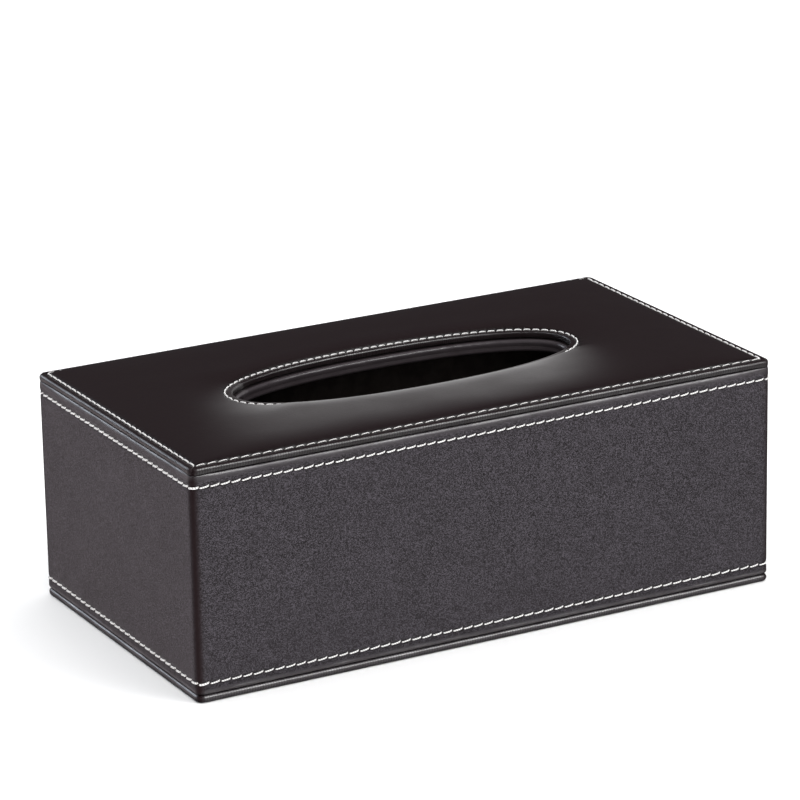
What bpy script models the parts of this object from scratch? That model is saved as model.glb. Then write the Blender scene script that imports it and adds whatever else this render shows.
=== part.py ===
"""Leather tissue box cover: four boarded walls, a padded top panel with an oval slot, and a hinged base flap.

X runs along the cover, the front faces -Y, and +Z is up. The origin is under the middle of the cover,
on the surface that it stands on. All lengths are in metres.
"""

import math

import bmesh
import bpy

# Overall size
COVER_LENGTH = 0.250
COVER_WIDTH = 0.136
WALL_HEIGHT = 0.0851
CORNER_RADIUS = 0.003

# Sheet goods
LEATHER = 0.0006
LINING = 0.0005
WALL_BOARD = 0.003
ROOF_BOARD = 0.003
PANEL_BOARD = 0.001
BASE_BOARD = 0.0011
SEAT_GAP = 0.0003

# Leather edges: how tightly it rolls over a board, and how far it is turned in behind
WALL_EDGE_ROLL = 0.0012
WALL_TURN_IN = 0.015
PANEL_TURN_IN = 0.012
LIP_TURN_IN = 0.010
BASE_TURN_IN = 0.012
BINDING_FLANGE = 0.008
BOARD_SETBACK = 0.0005
SHARPEST_CORNER = 0.0003

# Padded top panel with its oval slot
SLOT_LENGTH = 0.145
SLOT_WIDTH = 0.050
SLOT_LEDGE = 0.0018
SLOT_STITCH_INSET = 0.003
EDGE_STITCH_INSET = 0.0031
STITCH_DIP = 0.00015
CROWN_RISE = 0.002
OVAL_EXPONENT = 2.25
OVAL_END_SHARE = 0.4
CROWN_PLACE_SHARES = (0.06, 0.2, 0.5, 0.8, 0.94)
CROWN_RISE_SHARES = (0.45, 0.86, 1.0, 0.96, 0.62)

# Leather hinge strip at the back
HINGE_END_MARGIN = 0.0055
HINGE_UP_WALL = 0.011
HINGE_UNDER_FLAP = 0.012

# Closing magnets in the front wall, and the steel plates in the flap
MAGNET_LENGTH = 0.012
MAGNET_THICKNESS = 0.002
MAGNET_HEIGHT = 0.006
MAGNET_SPREAD = 0.140
STRIKE_LENGTH = 0.014
STRIKE_WIDTH = 0.006
STRIKE_THICKNESS = 0.0008
STRIKE_MARGIN = 0.0008

CUTTER_OVERRUN = 0.002

# Facets. An outline's quarter has steps along its end, round its corner and along its front.
BOX_STEPS = (1, 4, 1)
PANEL_STEPS = (2, 3, 3)
EDGE_ROLL_STEPS = 4
BINDING_ROLL_STEPS = 3

# Heights and insets worked out from the sizes above
BOARD_INSET = LEATHER + SEAT_GAP
BASE_THICKNESS = 2 * BOARD_INSET + BASE_BOARD
PANEL_THICKNESS = 2 * BOARD_INSET + PANEL_BOARD
WALL_LOW = BASE_THICKNESS + SEAT_GAP
WALL_TOP = WALL_LOW + WALL_HEIGHT
PANEL_LOW = WALL_TOP + SEAT_GAP
PANEL_TOP = PANEL_LOW + PANEL_THICKNESS
BOARD_LOW = WALL_LOW + BOARD_INSET
BOARD_TOP = WALL_TOP - BOARD_INSET
ROOF_LOW = BOARD_TOP - ROOF_BOARD
BINDING_LOW = ROOF_LOW - BOARD_INSET
LINING_TOP = ROOF_LOW - SEAT_GAP - LINING - SEAT_GAP
HALF_LENGTH = COVER_LENGTH / 2
HALF_WIDTH = COVER_WIDTH / 2
WALL_INSET = BOARD_INSET + WALL_BOARD
INNER_HALF_LENGTH = HALF_LENGTH - WALL_INSET - SEAT_GAP
INNER_HALF_WIDTH = HALF_WIDTH - WALL_INSET - SEAT_GAP
LEDGE_HALF_LENGTH = SLOT_LENGTH / 2 - SLOT_LEDGE
LEDGE_HALF_WIDTH = SLOT_WIDTH / 2 - SLOT_LEDGE
HINGE_HALF_LENGTH = HALF_LENGTH - HINGE_END_MARGIN
HINGE_TOP = WALL_LOW + HINGE_UP_WALL
HINGE_AXIS_Y = HALF_WIDTH + SEAT_GAP / 2
HINGE_AXIS_Z = BASE_THICKNESS + SEAT_GAP / 2

# Colour, roughness and metallic value of each finish
FINISHES = {
    "leather": ((0.036, 0.028, 0.031), 0.42, 0.0),
    "fibreboard": ((0.36, 0.24, 0.14), 0.85, 0.0),
    "greyboard": ((0.30, 0.28, 0.25), 0.90, 0.0),
    "foam": ((0.75, 0.73, 0.68), 0.95, 0.0),
    "lining_cloth": ((0.030, 0.024, 0.022), 0.95, 0.0),
    "magnet_nickel": ((0.62, 0.61, 0.58), 0.25, 1.0),
    "plate_steel": ((0.50, 0.50, 0.51), 0.35, 1.0),
}


def clear_scene():
    """Remove every object that the file starts with."""
    for obj in list(bpy.data.objects):
        bpy.data.objects.remove(obj, do_unlink=True)


def new_collection(name):
    """A collection linked to the scene."""
    collection = bpy.data.collections.new(name)
    bpy.context.scene.collection.children.link(collection)
    return collection


def new_finish(name):
    """The Principled material of one finish."""
    colour, roughness, metallic = FINISHES[name]
    material = bpy.data.materials.new(name)
    material.use_nodes = True
    shader = material.node_tree.nodes["Principled BSDF"]
    shader.inputs["Base Color"].default_value = (*colour, 1.0)
    shader.inputs["Roughness"].default_value = roughness
    shader.inputs["Metallic"].default_value = metallic
    return material


# Outlines in plan. A quarter runs from the X axis to the Y axis and is mirrored into a full turn.


def full_turn(quarter):
    """The closed outline whose first quarter is given."""
    half = quarter + [(-x, y) for x, y in reversed(quarter[:-1])]
    return half + [(x, -y) for x, y in reversed(half[1:-1])]


def rounded_rectangle(half_length, half_width, radius, steps):
    """An outline with straight sides and round corners."""
    end_steps, corner_steps, front_steps = steps
    side, end = half_width - radius, half_length - radius
    quarter = [(half_length, side * i / end_steps) for i in range(end_steps)]
    for i in range(corner_steps + 1):
        turn = math.pi / 2 * i / corner_steps
        quarter.append((end + radius * math.cos(turn), side + radius * math.sin(turn)))
    quarter += [(end * (1 - i / front_steps), half_width) for i in range(1, front_steps + 1)]
    return full_turn(quarter)


def box_outline(inset, steps=BOX_STEPS):
    """The cover's own outline, moved inwards by an inset."""
    radius = max(CORNER_RADIUS - inset, SHARPEST_CORNER)
    return rounded_rectangle(HALF_LENGTH - inset, HALF_WIDTH - inset, radius, steps)


def panel_outline(inset):
    """The cover's outline with as many points as the slot's."""
    return box_outline(inset, PANEL_STEPS)


def inner_outline():
    """The space inside the wall boards."""
    return rounded_rectangle(INNER_HALF_LENGTH, INNER_HALF_WIDTH, SHARPEST_CORNER, (1, 1, 1))


def slot_outline(half_length, half_width):
    """The slot's full oval, with its points closer together round its ends."""
    quarter = []
    for i in range(sum(PANEL_STEPS) + 1):
        even = math.pi / 2 * i / sum(PANEL_STEPS)
        turn = even - OVAL_END_SHARE / 2 * math.sin(2 * even)
        across = max(math.cos(turn), 0.0) ** (2 / OVAL_EXPONENT)
        along = math.sin(turn) ** (2 / OVAL_EXPONENT)
        quarter.append((half_length * across, half_width * along))
    return full_turn(quarter)


def lip_outline(outset):
    """The slot in the panel, widened by an outset."""
    return slot_outline(SLOT_LENGTH / 2 + outset, SLOT_WIDTH / 2 + outset)


def ledge_outline(outset):
    """The smaller oval in the roof board's binding, widened by an outset."""
    return slot_outline(LEDGE_HALF_LENGTH + outset, LEDGE_HALF_WIDTH + outset)


def between(outline, other, share):
    """The outline that lies a share of the way from one outline to another."""
    return [
        (x + share * (u - x), y + share * (v - y))
        for (x, y), (u, v) in zip(outline, other, strict=True)
    ]


def roll_section(low, high, radius, steps):
    """(inset, height) of leather rolled round an edge, from under the board to over it."""
    turns = [math.pi / 2 * i / steps for i in range(steps + 1)]
    under = [(radius * (1 - math.sin(t)), low + radius * (1 - math.cos(t))) for t in turns]
    over = [(radius * (1 - math.cos(t)), high - radius * (1 - math.sin(t))) for t in turns]
    return under + over


def half_round_section(low, high, steps):
    """(inset, height) of leather rolled round a thin edge in one half circle."""
    radius = (high - low) / 2
    turns = [math.pi * i / steps for i in range(steps + 1)]
    return [(radius * (1 - math.sin(t)), low + radius * (1 - math.cos(t))) for t in turns]


# Meshes


def mesh_object(name, bm, origin):
    """An object at its origin whose mesh was made in the cover's own frame."""
    bmesh.ops.recalc_face_normals(bm, faces=bm.faces)
    bmesh.ops.translate(bm, verts=bm.verts, vec=[-c for c in origin])
    mesh = bpy.data.meshes.new(name)
    bm.to_mesh(mesh)
    bm.free()
    obj = bpy.data.objects.new(name, mesh)
    obj.location = origin
    return obj


def loft(bm, rings, closed=False):
    """Bridge each ring of points to the next. Returns the rings of vertices."""
    made = [[bm.verts.new(point) for point in ring] for ring in rings]
    pairs = list(zip(made, made[1:]))
    if closed:
        pairs.append((made[-1], made[0]))
    for ring, other in pairs:
        for i in range(len(ring)):
            j = (i + 1) % len(ring)
            bm.faces.new((ring[i], ring[j], other[j], other[i]))
    return made


def at_height(outline, height):
    """An outline as points in space."""
    return [(x, y, height) for x, y in outline]


def leather_shell(name, rings, origin, outside, capped=False):
    """A leather skin of even thickness behind the surface lofted through the rings.

    outside says which way that surface faces at the first point of a middle ring.
    """
    bm = bmesh.new()
    made = loft(bm, rings)
    if capped:
        bm.faces.new(made[0])
    bmesh.ops.recalc_face_normals(bm, faces=bm.faces)
    facing = made[len(made) // 2][0]
    facing.normal_update()
    if facing.normal.dot(outside) < 0:
        bmesh.ops.reverse_faces(bm, faces=bm.faces)
    bmesh.ops.translate(bm, verts=bm.verts, vec=[-c for c in origin])
    mesh = bpy.data.meshes.new(name)
    bm.to_mesh(mesh)
    bm.free()
    obj = bpy.data.objects.new(name, mesh)
    obj.location = origin
    skin = obj.modifiers.new("Leather thickness", "SOLIDIFY")
    skin.thickness = LEATHER
    skin.offset = -1
    skin.use_even_offset = True
    return obj


def box(name, half_sizes, origin):
    """A plain rectangular piece round its own centre."""
    bm = bmesh.new()
    bmesh.ops.create_cube(bm, size=2)
    bmesh.ops.scale(bm, verts=bm.verts, vec=half_sizes)
    mesh = bpy.data.meshes.new(name)
    bm.to_mesh(mesh)
    bm.free()
    obj = bpy.data.objects.new(name, mesh)
    obj.location = origin
    return obj


def flat_board(name, outlines, thickness, height):
    """A sheet cut to an outline, with a hole for each further outline, centred on a height."""
    curve = bpy.data.curves.new(name, "CURVE")
    curve.dimensions = "2D"
    curve.fill_mode = "BOTH"
    curve.extrude = thickness / 2
    for outline in outlines:
        spline = curve.splines.new("POLY")
        spline.points.add(len(outline) - 1)
        for point, (x, y) in zip(spline.points, outline, strict=True):
            point.co = (x, y, 0, 1)
        spline.use_cyclic_u = True
    flat = bpy.data.objects.new(name, curve)
    bpy.context.scene.collection.objects.link(flat)
    graph = bpy.context.evaluated_depsgraph_get()
    mesh = bpy.data.meshes.new_from_object(flat.evaluated_get(graph))
    bpy.data.objects.remove(flat)
    bm = bmesh.new()
    bm.from_mesh(mesh)
    bmesh.ops.remove_doubles(bm, verts=bm.verts, dist=SEAT_GAP / 10)
    bmesh.ops.recalc_face_normals(bm, faces=bm.faces)
    bm.to_mesh(mesh)
    bm.free()
    mesh.name = name
    obj = bpy.data.objects.new(name, mesh)
    obj.location = (0, 0, height)
    return obj


class Builder:
    """Puts the finished pieces and their cutters in their collections."""

    def __init__(self):
        self.parts = new_collection("tissue_box_cover")
        self.cutters = new_collection("cutters")
        self.finishes = {name: new_finish(name) for name in FINISHES}

    def empty(self, name, location):
        """A frame that pieces hang on."""
        obj = bpy.data.objects.new(name, None)
        obj.empty_display_size = SLOT_WIDTH
        obj.location = location
        self.parts.objects.link(obj)
        return obj

    def add(self, obj, finish, parent, smooth=False):
        """Keep a piece, dress it and hang it on its frame where it stands."""
        obj.data.materials.clear()
        obj.data.materials.append(self.finishes[finish])
        if smooth:
            obj.data.shade_smooth()
            obj.data.set_sharp_from_angle(angle=math.radians(40))
        self.parts.objects.link(obj)
        obj.parent = parent
        obj.location = obj.location - parent.location
        return obj

    def cut(self, obj, cutter):
        """Cut one piece with a cutter."""
        cutter.hide_render = True
        cutter.display_type = "WIRE"
        self.cutters.objects.link(cutter)
        difference = obj.modifiers.new("Cut " + cutter.name, "BOOLEAN")
        difference.operation = "DIFFERENCE"
        difference.solver = "EXACT"
        difference.object = cutter


# The cover's walls


def round_outer_edges(obj, side):
    """Round a long wall board's two upright outer edges to sit behind the leather's corner."""
    bm = bmesh.new()
    bm.from_mesh(obj.data)
    outer = [
        edge
        for edge in bm.edges
        if all(v.co.y * side > 0 for v in edge.verts)
        and abs(edge.verts[0].co.z - edge.verts[1].co.z) > LEATHER
    ]
    bmesh.ops.bevel(
        bm, geom=outer, offset=CORNER_RADIUS - BOARD_INSET, segments=BOX_STEPS[1],
        profile=0.5, affect="EDGES", clamp_overlap=True,
    )
    bm.to_mesh(obj.data)
    bm.free()


def magnet_places():
    """Each magnet's side name and its X."""
    return (("left", -MAGNET_SPREAD / 2), ("right", MAGNET_SPREAD / 2))


def build_wall_boards(kit, frame):
    """Front and rear boards run the full length, and the end boards stand between them."""
    half_height = (BOARD_TOP - BOARD_LOW) / 2
    middle = (BOARD_TOP + BOARD_LOW) / 2
    across = HALF_WIDTH - BOARD_INSET - WALL_BOARD / 2
    along = HALF_LENGTH - BOARD_INSET - WALL_BOARD / 2
    long_half = (HALF_LENGTH - BOARD_INSET, WALL_BOARD / 2, half_height)
    end_half = (WALL_BOARD / 2, INNER_HALF_WIDTH, half_height)
    for name, side in (("front", -1), ("rear", 1)):
        board = box("wall_board_" + name, long_half, (0, side * across, middle))
        round_outer_edges(board, side)
        if name == "front":
            for cutter in magnet_notch_cutters():
                kit.cut(board, cutter)
        kit.add(board, "fibreboard", frame)
    for name, side in (("left", -1), ("right", 1)):
        board = box("wall_board_" + name, end_half, (side * along, 0, middle))
        kit.add(board, "fibreboard", frame)


def magnet_notch_cutters():
    """One notch for each magnet, open to the board's lower edge and to its inner face."""
    inner_face = -(HALF_WIDTH - WALL_INSET)
    deep = MAGNET_THICKNESS + SEAT_GAP
    high = MAGNET_HEIGHT + SEAT_GAP
    half = (
        MAGNET_LENGTH / 2 + SEAT_GAP,
        (deep + CUTTER_OVERRUN) / 2,
        (high + CUTTER_OVERRUN) / 2,
    )
    y = inner_face - deep + half[1]
    z = BOARD_LOW + high - half[2]
    return [box("magnet_notch_" + side, half, (x, y, z)) for side, x in magnet_places()]


def build_magnets(kit, frame):
    """Bar magnets, flush with the front board's inner face and lower edge."""
    half = (MAGNET_LENGTH / 2, MAGNET_THICKNESS / 2, MAGNET_HEIGHT / 2)
    y = -(HALF_WIDTH - WALL_INSET) - half[1]
    for side, x in magnet_places():
        magnet = box("magnet_" + side, half, (x, y, BOARD_LOW + half[2]))
        kit.add(magnet, "magnet_nickel", frame)


def build_roof_board(kit, frame):
    """The top of the box, set between the walls, with the smaller oval."""
    outlines = [inner_outline(), ledge_outline(BOARD_INSET)]
    board = flat_board("roof_board", outlines, ROOF_BOARD, (ROOF_LOW + BOARD_TOP) / 2)
    kit.add(board, "fibreboard", frame)


def build_wall_wrap(kit, frame):
    """One band of leather round the walls, rolled under them and in over the roof board."""
    section = [(WALL_INSET, WALL_LOW)]
    section += roll_section(WALL_LOW, WALL_TOP, WALL_EDGE_ROLL, EDGE_ROLL_STEPS)
    section += [(WALL_TURN_IN, WALL_TOP)]
    rings = [at_height(box_outline(inset), height) for inset, height in section]
    wrap = leather_shell("wall_wrap", rings, (0, 0, WALL_LOW), (1, 0, 0))
    kit.cut(wrap, rear_rebate_cutter("wall_rebate", LEATHER + SEAT_GAP / 2, HINGE_TOP + SEAT_GAP))
    kit.add(wrap, "leather", frame, smooth=True)


def build_linings(kit, frame):
    """Cloth on the inside of each wall and under the roof board."""
    half_height = (LINING_TOP - BOARD_LOW) / 2
    middle = (LINING_TOP + BOARD_LOW) / 2
    across = INNER_HALF_WIDTH - LINING / 2
    along = INNER_HALF_LENGTH - LINING / 2
    end_half_width = INNER_HALF_WIDTH - LINING - SEAT_GAP
    for name, side in (("front", -1), ("rear", 1)):
        half = (INNER_HALF_LENGTH, LINING / 2, half_height)
        cloth = box("lining_" + name, half, (0, side * across, middle))
        kit.add(cloth, "lining_cloth", frame)
    for name, side in (("left", -1), ("right", 1)):
        half = (LINING / 2, end_half_width, half_height)
        cloth = box("lining_" + name, half, (side * along, 0, middle))
        kit.add(cloth, "lining_cloth", frame)
    outlines = [inner_outline(), ledge_outline(BINDING_FLANGE + SEAT_GAP)]
    roof_cloth = flat_board("lining_roof", outlines, LINING, ROOF_LOW - SEAT_GAP - LINING / 2)
    kit.add(roof_cloth, "lining_cloth", frame)


def build_opening_binding(kit, frame):
    """Leather bound round the roof board's oval, the ledge just inside the slot."""
    section = [(BINDING_FLANGE, BINDING_LOW)]
    section += roll_section(BINDING_LOW, WALL_TOP, WALL_EDGE_ROLL, BINDING_ROLL_STEPS)
    section += [(BINDING_FLANGE, WALL_TOP)]
    rings = [at_height(ledge_outline(outset), height) for outset, height in section]
    binding = leather_shell("opening_binding", rings, (0, 0, BINDING_LOW), (-1, 0, 0))
    kit.add(binding, "leather", frame, smooth=True)


# The padded top panel


def crown_rings(lift):
    """The crowned field between the two stitch lines, lifted clear of the panel's flat top."""
    edge = panel_outline(EDGE_STITCH_INSET)
    lip = lip_outline(SLOT_STITCH_INSET)
    return [
        at_height(between(edge, lip, place), PANEL_TOP + lift + rise * CROWN_RISE)
        for place, rise in zip(CROWN_PLACE_SHARES, CROWN_RISE_SHARES, strict=True)
    ]


def build_panel_skin(kit, frame):
    """The leather of the panel: rolled edge, stitch groove, crown, stitch groove, rolled lip."""
    roll = half_round_section(PANEL_LOW, PANEL_TOP, EDGE_ROLL_STEPS)
    groove = PANEL_TOP - STITCH_DIP
    rings = [at_height(panel_outline(PANEL_TURN_IN), PANEL_LOW)]
    rings += [at_height(panel_outline(inset), height) for inset, height in roll]
    rings += [at_height(panel_outline(EDGE_STITCH_INSET), groove)]
    rings += crown_rings(0)
    rings += [at_height(lip_outline(SLOT_STITCH_INSET), groove)]
    rings += [at_height(lip_outline(outset), height) for outset, height in reversed(roll)]
    rings += [at_height(lip_outline(LIP_TURN_IN), PANEL_LOW)]
    skin = leather_shell("panel_skin", rings, (0, 0, PANEL_LOW), (0, 0, 1))
    kit.add(skin, "leather", frame, smooth=True)


def build_panel_foam(kit, frame):
    """The pad that makes the crown, feathered out before both stitch lines."""
    top = crown_rings(-BOARD_INSET)
    seat = PANEL_TOP - LEATHER
    first = [(x, y, seat) for x, y, z in top[0]]
    last = [(x, y, seat) for x, y, z in top[-1]]
    bm = bmesh.new()
    loft(bm, [first, *top, last], closed=True)
    foam = mesh_object("panel_foam", bm, (0, 0, seat))
    kit.add(foam, "foam", frame, smooth=True)


def build_panel_board(kit, frame):
    """The thin board that the panel's leather is drawn over."""
    setback = BOARD_INSET + BOARD_SETBACK
    outlines = [panel_outline(setback), lip_outline(setback)]
    height = PANEL_LOW + BOARD_INSET + PANEL_BOARD / 2
    board = flat_board("panel_board", outlines, PANEL_BOARD, height)
    kit.add(board, "greyboard", frame)


# The base flap and its hinge


def rear_rebate_cutter(name, deep, high):
    """Room for the hinge strip in the leather at the back, up to a height."""
    half = (
        HINGE_HALF_LENGTH + SEAT_GAP,
        (deep + CUTTER_OVERRUN) / 2,
        (high + CUTTER_OVERRUN) / 2,
    )
    return box(name, half, (0, HALF_WIDTH - deep + half[1], high - half[2]))


def under_rebate_cutter():
    """Room for the hinge strip in the leather under the flap."""
    deep = LEATHER + SEAT_GAP / 2
    back = HINGE_UNDER_FLAP + SEAT_GAP
    half = (
        HINGE_HALF_LENGTH + SEAT_GAP,
        (back + CUTTER_OVERRUN) / 2,
        (deep + CUTTER_OVERRUN) / 2,
    )
    return box("under_rebate", half, (0, HALF_WIDTH - back + half[1], deep - half[2]))


def build_hinge_strip(kit, frame):
    """Leather let in flush from the rear wall, round the flap's edge and under the flap."""
    bend = BASE_THICKNESS / 2
    path = [(HALF_WIDTH, HINGE_TOP), (HALF_WIDTH, HINGE_AXIS_Z)]
    for i in range(EDGE_ROLL_STEPS + 1):
        turn = math.pi / 2 * i / EDGE_ROLL_STEPS
        y = HALF_WIDTH - bend + bend * math.cos(turn)
        path.append((y, bend - bend * math.sin(turn)))
    path.append((HALF_WIDTH - HINGE_UNDER_FLAP, 0))
    bm = bmesh.new()
    left, right = [
        [bm.verts.new((side * HINGE_HALF_LENGTH, y, z)) for y, z in path] for side in (-1, 1)
    ]
    for i in range(len(path) - 1):
        bm.faces.new((right[i], left[i], left[i + 1], right[i + 1]))
    strip = mesh_object("hinge_strip", bm, (0, HINGE_AXIS_Y, HINGE_AXIS_Z))
    if strip.data.polygons[0].normal.y < 0:
        strip.data.flip_normals()
    skin = strip.modifiers.new("Leather thickness", "SOLIDIFY")
    skin.thickness = LEATHER
    skin.offset = -1
    skin.use_even_offset = True
    kit.add(strip, "leather", frame, smooth=True)


def build_base_skin(kit, flap):
    """Leather drawn over the flap's board from below, rolled up and turned in on top."""
    section = half_round_section(0, BASE_THICKNESS, 2 * EDGE_ROLL_STEPS)
    section += [(BASE_TURN_IN, BASE_THICKNESS)]
    rings = [at_height(box_outline(inset), height) for inset, height in section]
    skin = leather_shell("base_skin", rings, (0, 0, 0), (1, 0, 0), capped=True)
    kit.cut(skin, under_rebate_cutter())
    edge_top = BASE_THICKNESS + CUTTER_OVERRUN
    kit.cut(skin, rear_rebate_cutter("edge_rebate", BASE_THICKNESS / 2, edge_top))
    kit.add(skin, "leather", flap, smooth=True)


def strike_centre():
    """Y of the strike plates, a margin behind the front edge of the flap's board, and their half sizes."""
    board_edge = HALF_WIDTH - BOARD_INSET - BOARD_SETBACK
    half = (STRIKE_LENGTH / 2, STRIKE_WIDTH / 2, STRIKE_THICKNESS / 2)
    return -(board_edge - STRIKE_MARGIN - SEAT_GAP - half[1]), half


def build_base_board(kit, flap):
    """The flap's board, with a slot for each strike plate."""
    y, half = strike_centre()
    room_x, room_y = half[0] + SEAT_GAP, half[1] + SEAT_GAP
    outlines = [box_outline(BOARD_INSET + BOARD_SETBACK)]
    for side, x in magnet_places():
        corners = ((-1, -1), (1, -1), (1, 1), (-1, 1))
        outlines.append([(x + i * room_x, y + j * room_y) for i, j in corners])
        plate = box("strike_plate_" + side, half, (x, y, BOARD_INSET + half[2]))
        kit.add(plate, "plate_steel", flap)
    board = flat_board("base_board", outlines, BASE_BOARD, BOARD_INSET + BASE_BOARD / 2)
    kit.add(board, "greyboard", flap)


def build_base_lining(kit, flap):
    """Cloth on the flap's upper side, inside the turned-in leather."""
    outline = box_outline(BASE_TURN_IN + SEAT_GAP)
    height = BOARD_INSET + BASE_BOARD + SEAT_GAP + LINING / 2
    cloth = flat_board("base_lining", [outline], LINING, height)
    kit.add(cloth, "lining_cloth", flap)


def main():
    """Build the cover and its flap, closed and standing on the origin's plane."""
    clear_scene()
    kit = Builder()
    frame = kit.empty("cover_frame", (0, 0, 0))
    flap = kit.empty("base_flap_hinge_axis", (0, HINGE_AXIS_Y, HINGE_AXIS_Z))
    build_wall_boards(kit, frame)
    build_magnets(kit, frame)
    build_roof_board(kit, frame)
    build_wall_wrap(kit, frame)
    build_linings(kit, frame)
    build_opening_binding(kit, frame)
    build_panel_board(kit, frame)
    build_panel_foam(kit, frame)
    build_panel_skin(kit, frame)
    build_hinge_strip(kit, frame)
    build_base_board(kit, flap)
    build_base_skin(kit, flap)
    build_base_lining(kit, flap)


main()
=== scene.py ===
"""The looks of a leather tissue box cover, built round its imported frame.

The cover is a boarded box in brown-black leather with white sewing. It has a padded top panel with an
oval slot, one leather band round its walls, and a base flap on a leather hinge at the back. X runs
along the cover, the front faces -Y and +Z is up. All lengths are in metres.
"""

import logging
import math
import random
from bisect import bisect_right
from collections.abc import Callable, Mapping, Sequence
from dataclasses import dataclass, replace
from enum import Enum

import bmesh
import bpy
from mathutils import Matrix, Vector, noise


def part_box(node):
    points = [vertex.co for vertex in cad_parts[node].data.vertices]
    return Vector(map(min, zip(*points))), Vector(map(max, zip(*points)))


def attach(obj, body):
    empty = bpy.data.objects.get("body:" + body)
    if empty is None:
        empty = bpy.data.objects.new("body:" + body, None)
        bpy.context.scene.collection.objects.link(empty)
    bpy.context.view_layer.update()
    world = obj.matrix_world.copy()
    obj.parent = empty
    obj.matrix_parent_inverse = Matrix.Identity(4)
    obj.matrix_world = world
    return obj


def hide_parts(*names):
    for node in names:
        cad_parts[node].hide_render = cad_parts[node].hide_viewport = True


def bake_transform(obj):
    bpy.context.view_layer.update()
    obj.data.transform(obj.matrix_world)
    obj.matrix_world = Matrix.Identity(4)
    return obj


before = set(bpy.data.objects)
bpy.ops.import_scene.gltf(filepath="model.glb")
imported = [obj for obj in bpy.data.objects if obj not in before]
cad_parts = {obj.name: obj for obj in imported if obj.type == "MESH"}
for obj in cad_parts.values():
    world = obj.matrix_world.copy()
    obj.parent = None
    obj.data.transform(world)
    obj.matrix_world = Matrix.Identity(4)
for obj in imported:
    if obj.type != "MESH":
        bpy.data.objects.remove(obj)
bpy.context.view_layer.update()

LOG = logging.getLogger("tissue_box_cover")
ROUND_MAP = "Round"
STITCH_MAP = "Stitches"
MERGE_DISTANCE = 1e-6
SMOOTH_ANGLE = math.radians(50)
QUARTER_WAVE = 0.25
UPWARDS = Vector((0, 0, 1))
FORWARDS = Vector((0, -1, 0))
REARWARDS = Vector((0, 1, 0))

Colour = tuple[float, float, float]
Span = tuple[float, float]
Ring = Callable[[float], Vector]


# Shader nodes


@dataclass(frozen=True)
class Value:
    """A number that changes over a surface. Python's operators on it add Math nodes."""

    graph: "Graph"
    socket: bpy.types.NodeSocket

    def __add__(self, other: "Value | float") -> "Value":
        """This number plus another."""
        return self.graph.math("ADD", self, other)

    def __radd__(self, other: float) -> "Value":
        """Another number plus this one."""
        return self.graph.math("ADD", other, self)

    def __sub__(self, other: "Value | float") -> "Value":
        """This number less another."""
        return self.graph.math("SUBTRACT", self, other)

    def __rsub__(self, other: float) -> "Value":
        """Another number less this one."""
        return self.graph.math("SUBTRACT", other, self)

    def __mul__(self, other: "Value | float") -> "Value":
        """This number times another."""
        return self.graph.math("MULTIPLY", self, other)

    def __rmul__(self, other: float) -> "Value":
        """Another number times this one."""
        return self.graph.math("MULTIPLY", other, self)

    def __truediv__(self, other: "Value | float") -> "Value":
        """This number divided by another."""
        return self.graph.math("DIVIDE", self, other)

    def __rtruediv__(self, other: float) -> "Value":
        """Another number divided by this one."""
        return self.graph.math("DIVIDE", other, self)

    def __pow__(self, other: float) -> "Value":
        """This number to a power."""
        return self.graph.math("POWER", self, other)

    def __rpow__(self, other: float) -> "Value":
        """Another number to the power of this one."""
        return self.graph.math("POWER", other, self)

    def wave(self) -> "Value":
        """A wave from 0 to 1 that repeats each time this number grows by 1."""
        return self.graph.math("SINE", self * math.tau) * 0.5 + 0.5

    def lifted(self, share: float) -> "Value":
        """This number, from 0 to 1, pressed into that share of the span below 1."""
        return self * share + (1 - share)

    def steps(self, low: float, high: float) -> "Value":
        """A smooth step from 0 to 1 over a part of this number's range.

        Args:
            low: Where the step starts.
            high: Where it ends.

        Returns:
            The step.
        """
        made = self.graph.node(
            "ShaderNodeMapRange",
            {"interpolation_type": "SMOOTHSTEP"},
            {"Value": self, "From Min": low, "From Max": high},
        )
        return Value(self.graph, made.outputs["Result"])


Given = Value | bpy.types.NodeSocket | float | Sequence[float]


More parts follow.
